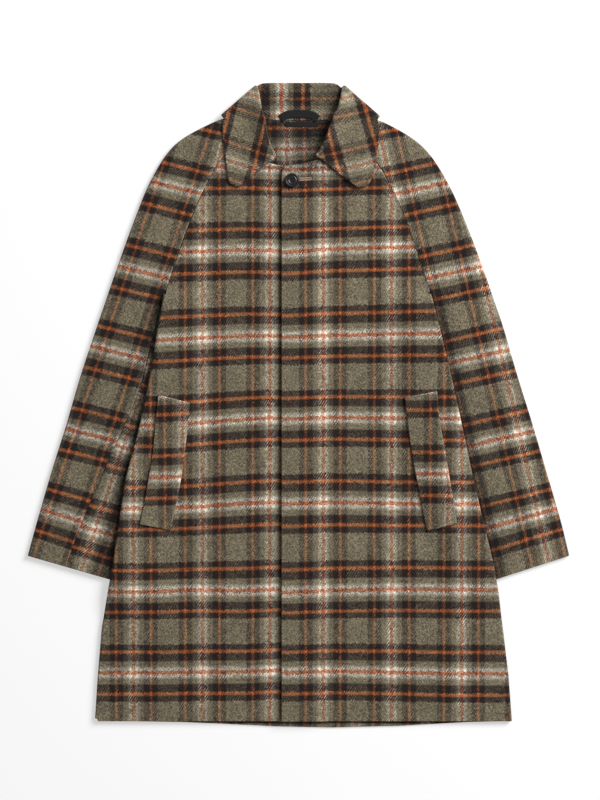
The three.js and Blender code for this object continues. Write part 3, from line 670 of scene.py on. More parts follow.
def sleeve_check(plan, side, under):
    """Cloth coordinates on a sleeve laid out flat: distances along and across its grain."""
    grain = GRAIN[side]
    turn = grain["turn"]
    offset = plan - np.array(grain["point"])
    along = -math.sin(turn) * offset[..., 0] - math.cos(turn) * offset[..., 1]
    across = math.cos(turn) * offset[..., 0] - math.sin(turn) * offset[..., 1]
    slope = grain["slope"] * ramp(along, 0.38, 0.2)
    place, lean = grain["under_red" if under else "red"]
    step = grain["under_step"] if under else 0.0
    down = line_coordinate(along - step + slope * across, grain["lines"], WEFT_REPEAT)
    return np.stack([across - place - lean * along, down], axis=-1)


def body_columns(side, middle, count):
    """Plan points along a front's upper edge, from its middle edge along the neck and the
    raglan seam to the underarm, with the number of points in each stretch."""
    sign = -1 if side == "left" else 1
    first = 0 if side == "left" else 2
    neck = evenly(FRONT_NECK[:, first:first + 2], count["neck"])
    seam = evenly(RAGLAN[:, first:first + 2], count["seam"])[1:-1]
    seam = seam - np.array([sign * SEAM_GAP / 2, SEAM_GAP / 2])
    edge_x = read_table(SIDES, 0, UNDERARM_Y, 1 if sign < 0 else 2)
    corner = np.array([[edge_x - sign * (FOLD_RADIUS + CLOTH / 2), UNDERARM_Y]])
    return np.concatenate([middle, neck, seam, corner])


def thicken_line(points, spacing):
    """The same broken line with more points on it, about the given distance apart."""
    lengths = np.linalg.norm(np.diff(points, axis=0), axis=1)
    places = np.concatenate([[0], np.cumsum(lengths)])
    count = max(int(round(places[-1] / spacing)), 2) + 1
    at = np.linspace(0, places[-1], count)
    return np.stack([np.interp(at, places, points[:, k]) for k in range(2)], axis=1)


def body_grid(top, height, hem, lower, rows):
    """A body panel's middle surface: a column runs down from each point of its upper edge,
    spreads with the sides, and the last columns at a side turn round it.

    Rows share out the way down to one level under the raglan seams, and below it they lie
    level. A point's place across is its start's, widened by the sides at its height.
    """
    yoke = int(rows * YOKE_SHARE)
    level = YOKE_LEVEL
    share = np.linspace(0, 1, yoke, endpoint=False)[:, None]
    upper = top[None, :, 1] * (1 - share) + level * share
    below = np.linspace(0, 1, rows - yoke)[:, None]
    y = np.concatenate([upper, level * (1 - below) + hem[None, :] * below])
    start = np.broadcast_to(top[None, :, 0], y.shape)
    capped = np.minimum(y, UNDERARM_Y)
    inset = FOLD_RADIUS + CLOTH / 2
    x = start
    for sign, column in ((-1, 1), (1, 2)):
        narrow = read_table(SIDES, 0, UNDERARM_Y, column)
        wide = read_table(SIDES, 0, capped, column)
        widening = (wide - sign * inset - PLACKET_X) / (narrow - sign * inset - PLACKET_X)
        part = np.clip((start - PLACKET_X) / (narrow - PLACKET_X), 0, 1)
        spread = start + (start - PLACKET_X) * (widening - 1) * np.sqrt(part)
        x = np.where((start - PLACKET_X) * sign > 0, spread, x)
    points = np.stack([x, y, height(x, y)], axis=-1)
    turned = []
    for sign, end in ((-1, 0), (1, -1)):
        if abs(top[end, 1] - UNDERARM_Y) > 1e-6 or top[end, 0] * sign < 0:
            turned.append(None)
            continue
        edge = read_table(SIDES, 0, y[:, end], 1 if sign < 0 else 2)
        middle_x = edge - sign * inset
        middle_z = back_height(middle_x, y[:, end]) + FOLD_RADIUS
        reach = np.pi / 2 - SEAM_GAP / 2 / FOLD_RADIUS
        angles = np.linspace(0, reach, TURN_STEPS)[1:]
        angles = np.pi - angles if lower else angles
        if end == 0:
            angles = angles[::-1]
        side = np.stack([
            middle_x[:, None] + sign * FOLD_RADIUS * np.sin(angles),
            np.repeat(y[:, end][:, None], len(angles), axis=1),
            middle_z[:, None] + FOLD_RADIUS * np.cos(angles),
        ], axis=-1)
        points[:, end, 0] = middle_x
        points[:, end, 2] = middle_z + (-FOLD_RADIUS if lower else FOLD_RADIUS)
        turned.append(side)
    parts = [turned[0]] if turned[0] is not None else []
    parts.append(points)
    if turned[1] is not None:
        parts.append(turned[1])
    return np.concatenate(parts, axis=1)


def front_piece(side, material):
    """One front: a wall on its height from the middle edge to the side."""
    if side == "left":
        middle, height = UNDERLAP_TOP, front_height
    else:
        middle, height = OVERLAP_TOP, placket_height
    top = body_columns(side, middle, {"neck": 9, "seam": 24})
    top = thicken_line(top, 0.004)
    order = np.argsort(top[:, 0])
    top = top[order]
    hem = np.full(len(top), HEM_Y)
    if side == "left":
        hem[0] += HEM_CORNER
    grid = body_grid(top, height, hem, False, BODY_ROWS)
    x, y = grid[..., 0], grid[..., 1]
    # Painted shade: the fronts' cloth darkened below the middle of the neck, under the collar,
    # more towards +X
    painted_shade = ramp(y, *FRONT_PAINTED_SHADE_Y) * ramp(np.abs(x), *FRONT_PAINTED_SHADE_X)
    painted_shade = painted_shade * (1.0 + RIGHT_PAINTED_SHADE * ramp(x, *FRONT_PAINTED_SHADE_RIGHT_X))
    check = body_check(x, y, side)
    piece = wall_mesh(f"front_{side}_cloth", grid, CLOTH, check, painted_shade)
    finish_piece(piece, material, "checked_wool", f"front_viewer_{side}")
    return piece


def back_piece(material):
    """The back panel, whose inside shows in the neck."""
    half = np.concatenate([BACK_NECK[::-1], evenly(BACK_RAGLAN, 24)[1:-1]])
    edge = [read_table(SIDES, 0, UNDERARM_Y, k) for k in (1, 2)]
    inset = FOLD_RADIUS + CLOTH / 2
    left = np.concatenate([half * (-1, 1), [[edge[0] + inset, UNDERARM_Y]]])[::-1]
    right = np.concatenate([half, [[edge[1] - inset, UNDERARM_Y]]])[1:]
    top = thicken_line(np.concatenate([left, right]), 0.0042)
    top[:, 1] -= SEAM_GAP / 2
    top[[0, -1], 1] = UNDERARM_Y
    hem = np.interp(top[:, 0] * HEM_FLARE, BACK_HEM[:, 0], BACK_HEM[:, 1])
    hem[0] += HEM_CORNER
    grid = body_grid(top, back_height, hem, True, BODY_ROWS)
    x, y = grid[..., 0], grid[..., 1]
    check = body_check(x, y, "right", BACK_SHIFT)
    # Painted shade: the back's inside darkened in the neck well, more towards +X where the right
    # leaf shades it
    painted_shade = ramp(y, *BACK_PAINTED_SHADE_Y) * (BACK_PAINTED_SHADE + RIGHT_PAINTED_SHADE * ramp(x, *BACK_PAINTED_SHADE_RIGHT_X))
    piece = wall_mesh("back_cloth", grid, CLOTH, check, painted_shade)
    finish_piece(piece, material, "checked_wool", "back_panel")
    return piece


def fold_round(centre, outward, radius, low_height, steps):
    """Points round a fold, from its top to its underside, for each row's plan centre."""
    angle = np.linspace(0, np.pi, steps)
    x = centre[:, 0:1] + outward[:, 0:1] * radius * np.sin(angle)
    y = centre[:, 1:2] + outward[:, 1:2] * radius * np.sin(angle)
    z = low_height[:, None] + radius + radius * np.cos(angle)
    cut = centre[:, None, :] + outward[:, None, :] * (radius * angle)[None, :, None]
    return np.stack([x, y, z], axis=-1), cut


def outward_normals(line, away):
    """Unit vectors square to a line of plan points, pointing away from a given point."""
    along = np.gradient(line, axis=0)
    normals = unit(np.stack([along[:, 1], -along[:, 0]], axis=1))
    turned = np.sum(normals * (line - np.array(away)), axis=1) < 0
    normals[turned] *= -1
    return normals


def folded_rows(front, centre, outward, back, counts, low):
    """Rows of cloth along an upper face, round a fold and along the lower face.

    Returns the middle points, and the same rows laid out flat: the lower face is turned over
    the fold's line, half a turn's length further out.
    """
    share = np.linspace(0, 1, counts[0], endpoint=False)[None, :, None]
    upper = front[:, None] * (1 - share) + centre[:, None] * share
    low_height = low(centre[:, 0], centre[:, 1])
    turn, turn_cut = fold_round(centre, outward, FOLD_RADIUS, low_height, counts[1])
    share = np.linspace(0, 1, counts[2] + 1)[None, 1:, None]
    lower = centre[:, None] * (1 - share) + back[:, None] * share
    inwards = dot(centre[:, None] - lower, outward[:, None])
    lower_cut = lower + outward[:, None] * (2 * inwards + np.pi * FOLD_RADIUS)
    points = np.concatenate([
        lay(upper, sleeve_front_height),
        turn,
        lay(lower, low),
    ], axis=1)
    return points, np.concatenate([upper, turn_cut, lower_cut], axis=1)


def sleeve_rows(side):
    """The plan places that a sleeve's two panels share, row by row below the underarm."""
    rows = evenly(SLEEVES[side], 120)
    outer, inner = rows[:, 0:2], rows[:, 2:4]
    outer_normals = outward_normals(outer, (0, 0))
    inner_normals = outward_normals(inner, (-0.9 if side == "left" else 0.9, 0))
    inset = FOLD_RADIUS + CLOTH / 2
    outer_centre = outer - outer_normals * inset
    inner_centre = inner - inner_normals * inset
    across = unit(outer_centre - inner_centre)
    return {
        "outer_centre": outer_centre,
        "outward": outer_normals,
        "inner_centre": inner_centre,
        "inward": inner_normals,
        "across": across,
        "seam_front": inner_centre + (outer_centre - inner_centre) * rows[:, 4:5],
        "seam_back": inner_centre + (outer_centre - inner_centre) * rows[:, 5:6],
    }


def sleeve_painted_shade(points, side):
    """Painted shade on a sleeve's cloth beside the body's edge, where the body shades it: a band
    that fades away from the edge and above the underarm.
    """
    x, y = points[..., 0], points[..., 1]
    edge = np.abs(read_table(SIDES, 0, y, 1 if side == "left" else 2))
    near = np.exp(-((np.maximum(np.abs(x) - edge, 0) / PAINTED_SHADE_WIDTH) ** 2))
    return SLEEVE_PAINTED_SHADE * near * ramp(y, *SLEEVE_PAINTED_SHADE_Y)


def sleeve_pieces(side, material):
    """A sleeve's upper panel from the neck to the cuff, and its under panel."""
    sign = -1 if side == "left" else 1
    first = 0 if side == "left" else 2
    half = SEAM_GAP / 2
    below = sleeve_rows(side)
    count = SHOULDER_ROWS
    seam = evenly(RAGLAN[:, first:first + 2], count)[:-1] + (sign * half, half)
    back = evenly(BACK_RAGLAN, count)[:-1] * (sign, 1) + (sign * half, half)
    shoulder = evenly(SHOULDER[:, first:first + 2], count)
    normals = outward_normals(shoulder, (0, 0))
    centre = (shoulder - normals * (FOLD_RADIUS + CLOTH / 2))[:-1]
    fronts = np.concatenate([seam, below["seam_front"] + below["across"] * half])
    centres = np.concatenate([centre, below["outer_centre"]])
    outwards = np.concatenate([normals[:-1], below["outward"]])
    backs = np.concatenate([back, below["seam_back"] + below["across"] * half])
    points, cut = folded_rows(
        fronts, centres, outwards, backs, UPPER_COUNTS, sleeve_back_height)
    # Both panels get painted shade beside the body's edge
    piece = wall_mesh(
        f"sleeve_upper_{side}_cloth", points, CLOTH, sleeve_check(cut, side, False),
        sleeve_painted_shade(points, side))
    finish_piece(piece, material, "checked_wool", f"sleeve_upper_{side}")
    points, cut = folded_rows(
        below["seam_front"] - below["across"] * half,
        below["inner_centre"],
        below["inward"],
        below["seam_back"] - below["across"] * half,
        UNDER_COUNTS,
        floor_height,
    )
    lower = points[:, sum(UNDER_COUNTS[:2]):]
    lower[..., 2] = sleeve_back_height(lower[..., 0], lower[..., 1])
    under = wall_mesh(
        f"sleeve_under_{side}_cloth", points, CLOTH, sleeve_check(cut, side, True),
        sleeve_painted_shade(points, side))
    finish_piece(under, material, "checked_wool", f"sleeve_under_{side}")
    return piece, under


def collar_rows(front, rear, sign, upper, lower, count):
    """Rows of one layer of half the collar: over the upper layer from its front end, half a
    turn round the slanting fold at the shoulder, and under it to the centre back.

    Across a row run straight plan lines from the roll to the other edge. The plan of the
    cloth before it was folded there comes with them.
    """
    share = np.linspace(0, 1, count)[None, :, None]
    row = np.arange(COLLAR_FRONT_ROWS)
    beside = ramp(row, 0, ROLL_FULL_ROWS[0]) * ramp(row, row[-1], ROLL_FULL_ROWS[1])

    def plan(rows, mirror):
        roll = rows[:, 0:2] * (mirror, 1)
        edge = rows[:, 2:4] * (mirror, 1)
        return roll[:, None] * (1 - share) + edge[:, None] * share

    first = plan(evenly(front, COLLAR_FRONT_ROWS), 1)
    over = lay(first, upper)
    from_roll = np.linalg.norm(first - first[:, :1], axis=2)
    over[..., 2] += ROLL_RISE * beside[:, None] * np.exp(-((from_roll / ROLL_WIDTH) ** 2))
    last = over[-1]
    span = last[-1, :2] - last[0, :2]
    outward = unit(np.array([-span[1], span[0]]))
    if outward[0] * sign < 0:
        outward = -outward
    high, low = last[:, 2], lower(last[:, 0], last[:, 1])
    middle, radius = (high + low) / 2, (high - low) / 2
    angle = np.linspace(0, np.pi, COLLAR_TURN_STEPS)[1:-1][:, None]
    turn = np.stack([
        last[None, :, 0] + outward[0] * radius * np.sin(angle),
        last[None, :, 1] + outward[1] * radius * np.sin(angle),
        middle + radius * np.cos(angle),
    ], axis=-1)
    behind = lay(plan(evenly(rear, COLLAR_REAR_ROWS), sign), lower)
    bent = first[-1][None] + outward * (radius * angle)[..., None]
    inside = dot(first[-1, 0] - behind[..., :2], outward)
    opened = behind[..., :2] + outward * (2 * inside + np.pi * radius.mean())
    return np.concatenate([over, turn, behind]), np.concatenate([first, bent, opened])


def roll_over(stand, fall, steps):
    """Half circles that join the ends of the stand's rows to the starts of the fall's."""
    start, end = stand[:, -1], fall[:, 0]
    middle, span = (start + end) / 2, (end - start) / 2
    radius = np.linalg.norm(span, axis=1, keepdims=True)
    onward = stand[:, -1] - stand[:, -2]
    onward = unit(onward - span * dot(onward, span) / np.maximum(dot(span, span), 1e-12))
    angle = np.linspace(0, np.pi, steps)[1:-1][None, :, None]
    return middle[:, None] - span[:, None] * np.cos(angle) + (
        onward * radius)[:, None] * np.sin(angle)


def collar_piece(material):
    """The whole collar: the stand from the neck seam to the roll, and the fall over it."""
    halves = []
    lines = []
    for side, sign in (("left", -1), ("right", 1)):
        stand_front = STAND_FRONT[side][:, [2, 3, 0, 1]]
        stand_rear = STAND_REAR[:, [2, 3, 0, 1]]
        stand, _ = collar_rows(
            stand_front, stand_rear, sign, neck_height, stand_rear_height,
            STAND_POINTS)
        fall, plan = collar_rows(
            LEAF[side], FALL_REAR, sign, leaf_height, floor_height, FALL_POINTS)
        stand = stand[:, ::-1]
        rows = np.concatenate([stand, roll_over(stand, fall, ROLL_STEPS), fall], axis=1)
        halves.append(rows)
        lines.append(plan @ LEAF_LINES[side][:, :2].T + LEAF_LINES[side][:, 2])
    grid = np.concatenate([halves[0], halves[1][::-1][1:]])
    behind = slice(COLLAR_FRONT_ROWS, -COLLAR_FRONT_ROWS)
    grid[behind, STAND_SEAM, 1:] -= STAND_GROOVE * np.array(GROOVE_LEAN)
    check = collar_check(grid, *lines)
    # Painted shade: the stand darkened inside the neck, more towards its sides and most at its
    # foot by the neck seam, and none from the middle of the roll on
    base, beside = COLLAR_PAINTED_SHADE
    painted_shade = base + beside * ramp(np.abs(grid[..., 0]), *COLLAR_PAINTED_SHADE_X)
    painted_shade[:, :3] += np.array(STAND_FOOT_PAINTED_SHADE)
    painted_shade[:, ROLL_MIDDLE:] = 0
    piece = wall_mesh("collar_cloth", grid, CLOTH, check, painted_shade)
    finish_piece(piece, material, "checked_wool", "collar_stand", "collar_fall")
    return piece


def collar_check(grid, left, right):
    """Cloth coordinates on the collar, whose stand and fall are cut on other grains.

    On the stand they are distances from a line near the neck seam and from one beside the
    centre back. On the leaves of the fall they follow the lines of LEAF_LINES, and towards
    the centre back the two sides are drawn together. The change lies inside the roll.
    """
    steps = np.linalg.norm(np.diff(grid[:, COLLAR_LINE], axis=0), axis=1)
    along = np.concatenate([[0], np.cumsum(steps)])
    along = along - along[len(along) // 2]
    steps = np.linalg.norm(np.diff(grid, axis=1), axis=2)
    across = np.concatenate([np.zeros((len(grid), 1)), np.cumsum(steps, axis=1)], axis=1)
    across = across - across[:, STAND_END:STAND_END + 1]
    rear = ramp(np.abs(along), 0.075, 0.05)[:, None]
    along = along[:, None] * (1 - rear) + grid[..., 0] * rear
    check = np.stack([across + STAND_RED[0], along - STAND_RED[1]], axis=-1)
    repeat = np.array([WARP_REPEAT, WEFT_REPEAT])
    apart = right[-1] - left[-1]
    apart = apart - repeat * np.round(apart.mean(axis=0) / repeat)
    share = ramp(np.arange(len(left)), DRAWN_FROM_ROW, len(left) - 1)[:, None, None]
    left = left + share * apart / 2
    right = right - share * (right[-1] - left[-1])
    fall = np.concatenate([left, right[::-1][1:]])
    before = (across[:, ROLL_MIDDLE:FALL_START] - across[:, FALL_START:FALL_START + 1])
    check[:, FALL_START:] = fall
    check[:, ROLL_MIDDLE:FALL_START] = fall[:, :1]
    check[:, ROLL_MIDDLE:FALL_START, 1] += before
    return check


def welt_piece(side, material):
    """A slanted pocket welt on its front, a layer above it."""
    rows = evenly(WELTS[side], 64)
    share = np.linspace(0, 1, 18)[None, :, None]
    plan = rows[:, None, 0:2] * (1 - share) + rows[:, None, 2:4] * share

    def height(x, y):
        return front_height(x, y) + LAYER + WELT_RISE * ramp(y, -0.04, 0.01)

    points = lay(plan, height)
    check = body_check(points[..., 0], points[..., 1], side, WELT_SHIFT[side])
    piece = wall_mesh(f"pocket_welt_{side}_cloth", points, CLOTH, check)
    finish_piece(piece, material, "checked_wool", f"pocket_welt_{side}")
    return piece


def loop_piece(material):
    """The hanger loop: a flat tape that arches over the stand between its two ends."""
    path = np.array([
        (-0.031, 0.4905), (-0.0165, 0.4986), (0.0185, 0.4986), (0.033, 0.4905)])
    at = np.linspace(0, 3, 60)
    line = smooth_rows(path, at)
    normals = outward_normals(line, (0, 0.4))
    share = np.linspace(-0.5, 0.5, 7)[None, :, None]
    plan = line[:, None] + normals[:, None] * (LOOP_WIDTH * share)
    lift = (CLOTH + TAPE_THICK) / 2 + SEAM_GAP
    points = lay(plan, lambda x, y: stand_rear_height(x, y) + lift)
    along = np.concatenate([[0], np.cumsum(np.linalg.norm(np.diff(line, axis=0), axis=1))])
    check = np.stack(np.broadcast_arrays(along[:, None], LOOP_WIDTH * share[..., 0]), axis=-1)
    piece = wall_mesh("hanger_loop_tape", points, TAPE_THICK, check)
    finish_piece(piece, material, "black_tape", "hanger_loop")
    return piece


def label_piece(material):
    """The plain dark label strip under the neck seam."""
    x = np.linspace(-0.0232, 0.0335, 34)
    y = np.linspace(0.4856, 0.4776, 9)
    plan = np.stack(np.meshgrid(x, y), axis=-1)
    lift = (CLOTH + LABEL_THICK) / 2 + SEAM_GAP
    points = lay(plan, lambda px, py: back_height(px, py) + lift)
    piece = wall_mesh("neck_label_tape", points, LABEL_THICK, plan)
    finish_piece(piece, material, "black_tape", "neck_label")
    return piece


def button_piece(material):
    """The button: a profile turned round an upright axis, with four thread dimples.

    Heights follow the profile over the radius, less a smooth dimple round each hole centre.
    """
    profile = np.array([
        (0.0, 0.0), (0.0088, 0.0), (0.0105, 0.0004), (0.0114, 0.001), (0.0118, 0.0019),
        (0.0118, 0.0029), (0.0114, 0.0037), (0.0107, 0.0042), (0.0099, 0.0041),
        (0.0093, 0.0034), (0.0088, 0.0028), (0.008, 0.0027), (0.0072, 0.0031),
        (0.0064, 0.0034), (0.0054, 0.0031), (0.0045, 0.0026), (0.003, 0.0024), (0.0, 0.0024),
    ])
    line = evenly(profile, 150)
    line[:, 0] = np.clip(line[:, 0], 0, None)
    angle = np.linspace(0, 2 * np.pi, 97)
    x = line[:, 0:1] * np.cos(angle)
    y = line[:, 0:1] * np.sin(angle)
    z = np.broadcast_to(line[:, 1:2], x.shape).copy()
    upper = (np.arange(len(line)) > 90)[:, None]
    for sign_x in (-1, 1):
        for sign_y in (-1, 1):
            far = np.hypot(x - sign_x * HOLE_OFFSET, y - sign_y * HOLE_OFFSET)
            z -= upper * DIMPLE_DEPTH * ramp(far, 0.0011, 0.0007)
    seat = placket_height(np.array(BUTTON_X), np.array(BUTTON_Y)) + CLOTH / 2 + 2 * SEAM_GAP
    points = np.stack([x + BUTTON_X, y + BUTTON_Y, z + seat], axis=-1)
    rows, columns = points.shape[:2]
    number = np.arange(rows * columns).reshape(rows, columns)
    faces = np.stack([
        number[:-1, :-1].ravel(), number[:-1, 1:].ravel(),
        number[1:, 1:].ravel(), number[1:, :-1].ravel(),
    ], axis=1)
    piece = make_mesh("button_resin", points.reshape(-1, 3), faces)
    close_doubles(piece)
    finish_piece(piece, material, "black_button", "button")
    return piece


def close_doubles(piece):
    """Merges points that coincide, which closes seams and poles, and turns faces outwards."""
    mesh = bmesh.new()
    mesh.from_mesh(piece.data)
    bmesh.ops.remove_doubles(mesh, verts=mesh.verts, dist=1e-6)
    bmesh.ops.recalc_face_normals(mesh, faces=mesh.faces)
    mesh.to_mesh(piece.data)
    mesh.free()


def thread_bars(name, starts, ends, rise, radius):
    """Many short threads: each is a tube along a shallow arch between its two ends.

    A tube's middle is the straight line between the ends, raised by rise times 4t(1 - t),
    and its radius shrinks to a point at both ends.
    """
    t = np.linspace(0, 1, 6)
    angle = 2 * np.pi * np.arange(6) / 6
    span = ends - starts
    side = unit(np.cross(span, (0, 0, 1.0)))
    over = unit(np.cross(side, span))
    middle = starts[:, None] + span[:, None] * t[None, :, None]
    middle = middle + over[:, None] * (rise * 4 * t * (1 - t))[None, :, None]
    size = radius * np.sqrt(np.clip(1 - (2 * t - 1) ** 4, 0, 1))[None, :, None, None]
    ring = (
        side[:, None, None] * np.cos(angle)[None, None, :, None]
        + over[:, None, None] * np.sin(angle)[None, None, :, None]
    )
    points = middle[:, :, None] + size * ring
    count = len(starts)
    number = np.arange(count * 36).reshape(count, 6, 6)
    after = np.roll(number, -1, axis=2)
    faces = np.stack(
        [number[:, :-1], after[:, :-1], after[:, 1:], number[:, 1:]], axis=-1).reshape(-1, 4)
    return make_mesh(name, points.reshape(-1, 3), faces)


def running_stitches(name, line, height, pitch, length, radius, sink):
    """Stitches along a plan line, each a short thread that dips into the cloth at its ends."""
    steps = np.linalg.norm(np.diff(line, axis=0), axis=1)
    places = np.concatenate([[0], np.cumsum(steps)])
    at = np.arange(pitch, places[-1] - pitch, pitch)
    ends = []
    for shift in (0, length):
        plan = np.stack([np.interp(at + shift, places, line[:, k]) for k in range(2)], axis=1)
        point = lay(plan, height)
        point[:, 2] += CLOTH / 2 - sink
        ends.append(point)
    return thread_bars(name, ends[0], ends[1], sink * 0.9, radius)


def buttonhole_piece(material):
    """The worked buttonhole: close stitches over both lips of the slot and round its end."""
    start, end = np.array(BUTTONHOLE[0]), np.array(BUTTONHOLE[1])
    along = (end - start) / np.linalg.norm(end - start)
    across = np.array([-along[1], along[0]])
    reach = np.linspace(0, np.linalg.norm(end - start), 34)
    fan = np.linspace(-np.pi / 2, np.pi / 2, 9)
    inner, outer = [], []
    for sign in (-1, 1):
        base = start + reach[:, None] * along
        inner.append(base + sign * across * LIP_INNER)
        outer.append(base + sign * across * LIP_OUTER)
    turn = np.cos(fan)[:, None] * along + np.sin(fan)[:, None] * across
    inner.append(end + turn * LIP_INNER)
    outer.append(end + turn * LIP_OUTER)
    ends = []
    for plan in (np.concatenate(inner), np.concatenate(outer)):
        point = lay(plan, placket_height)
        point[:, 2] += CLOTH / 2 - 0.0002
        ends.append(point)
    piece = thread_bars("buttonhole_stitches", ends[0], ends[1], 0.0007, 0.00034)
    finish_piece(piece, material, "cream_thread")
    return piece


def button_thread(material):
    """Two crossed bars of thread between the button's dimples."""
    seat = float(placket_height(np.array(BUTTON_X), np.array(BUTTON_Y)))
    top = seat + CLOTH / 2 + 2 * SEAM_GAP + 0.0019
    off = HOLE_OFFSET
    shift = np.linspace(-0.0004, 0.0004, 3)
    starts = [(BUTTON_X - off, BUTTON_Y - off + s, top) for s in shift]
    starts += [(BUTTON_X - off, BUTTON_Y + off + s, top) for s in shift]
    ends = [(x + 2 * off, y, z) for x, y, z in starts]
    piece = thread_bars(
        "button_thread", np.array(starts), np.array(ends), 0.001, 0.0003)
    finish_piece(piece, material, "black_tape")
    return piece


def placket_stitches(material):
    """Edge stitching of the overlapping front, just inside its free edge."""
    y = np.linspace(0.392, HEM_Y + 0.006, 200)
    line = np.stack([np.full_like(y, STITCH_X), y], axis=1)
    piece = running_stitches(
        "placket_stitches", line, placket_height, STITCH_PITCH, STITCH_LENGTH,
        STITCH_RADIUS, STITCH_SINK)
    finish_piece(piece, material, "checked_wool")
    return piece


class Signal:
    """A number that varies over a surface. Its operators add Math nodes to the finish."""

    def __init__(self, finish, socket):
        self.finish = finish
        self.socket = socket

    def math(self, operation, *values):
        return self.finish.math(operation, *values)

    def __add__(self, other):
        return self.math("ADD", self, other)

    def __mul__(self, other):
        return self.math("MULTIPLY", self, other)

    def __sub__(self, other):
        return self.math("SUBTRACT", self, other)

    def __rsub__(self, other):
        return self.math("SUBTRACT", other, self)

    def __truediv__(self, other):
        return self.math("DIVIDE", self, other)

    def sine(self):
        return self.math("SINE", self)

    def fraction(self):
        return self.math("FRACT", self)

    def size(self):
        return self.math("ABSOLUTE", self)

    def at_most(self, limit):
        return self.math("MINIMUM", self, limit)

    def at_least(self, limit):
        return self.math("MAXIMUM", self, limit)



class Finish:
    """A material and the nodes that give its colour, roughness and relief."""

    def __init__(self, name):
        self.material = bpy.data.materials.new(name)
        self.material.use_nodes = True
        self.tree = self.material.node_tree
        self.tree.nodes.clear()

    def node(self, kind, settings=None, inputs=None):
        """Adds a node of a type, makes its settings, then fills its sockets."""
        node = self.tree.nodes.new(kind)
        for key, value in (settings or {}).items():
            if key == "stops":
                self.set_stops(node.color_ramp, value)
            else:
                setattr(node, key, value)
        for key, value in (inputs or {}).items():
            socket = node.inputs[key]
            if isinstance(value, Signal):
                self.tree.links.new(value.socket, socket)
            else:
                socket.default_value = value
        return node

    def set_stops(self, ramp_data, stops):
        """Fills a colour ramp with stops of a place and a colour."""
        elements = ramp_data.elements
        while len(elements) > 1:
            elements.remove(elements[-1])
        for i, (place, colour) in enumerate(stops):
            element = elements[0] if i == 0 else elements.new(place)
            element.position = place
            element.color = (*colour, 1.0)

    def signal(self, node, name=0):
        return Signal(self, node.outputs[name])

    def math(self, operation, *values):
        inputs = {i: value for i, value in enumerate(values)}
        return self.signal(self.node("ShaderNodeMath", {"operation": operation}, inputs))

    def mix(self, share, first, second, how="MIX"):
        """One colour at share 0 and the other at share 1, or blended in another way."""
        settings = {"data_type": "RGBA", "blend_type": how}
        node = self.node("ShaderNodeMix", settings, {0: share, 6: first, 7: second})
        return self.signal(node, 2)

    def place(self):
        """The place on the piece, in metres."""
        return self.signal(self.node("ShaderNodeTexCoord"), "Object")

    def noise(self, place, scale, detail=2.0, roughness=0.5, distortion=0.0):
        inputs = {"Vector": place, "Scale": scale, "Detail": detail, "Roughness": roughness,
                  "Distortion": distortion}
        return self.signal(self.node("ShaderNodeTexNoise", {}, inputs), 0)

    def surface(self, colour, roughness, relief=None, **constants):
        """Ends the material in a Principled shader, with relief in metres as a bump."""
        inputs = {"Base Color": colour, "Roughness": roughness}
        if relief is not None:
            bump = self.node("ShaderNodeBump", {}, {
                "Height": relief, "Distance": 1.0, "Strength": 1.0})
            inputs["Normal"] = self.signal(bump)
        for name, value in constants.items():
            inputs[name.replace("_", " ")] = value
        shader = self.node("ShaderNodeBsdfPrincipled", {}, inputs)
        output = self.node("ShaderNodeOutputMaterial")
        self.tree.links.new(shader.outputs[0], output.inputs[0])
        return self.material


def stripe_stops(stripes, colours):
    """Ramp stops for stripes from the middle of a repeat to its half, with soft edges."""
    half = stripes[-1][0]
    stops = [(0.0, colours[stripes[0][1]])]
    for (reach, name), (_, after) in zip(stripes, stripes[1:]):
        edge = PALE_FADE if name in ("cream", "pale") else STRIPE_FADE
        stops.append(((reach - edge) / half, colours[name]))
        stops.append(((reach + edge) / half, colours[after]))
    return stops


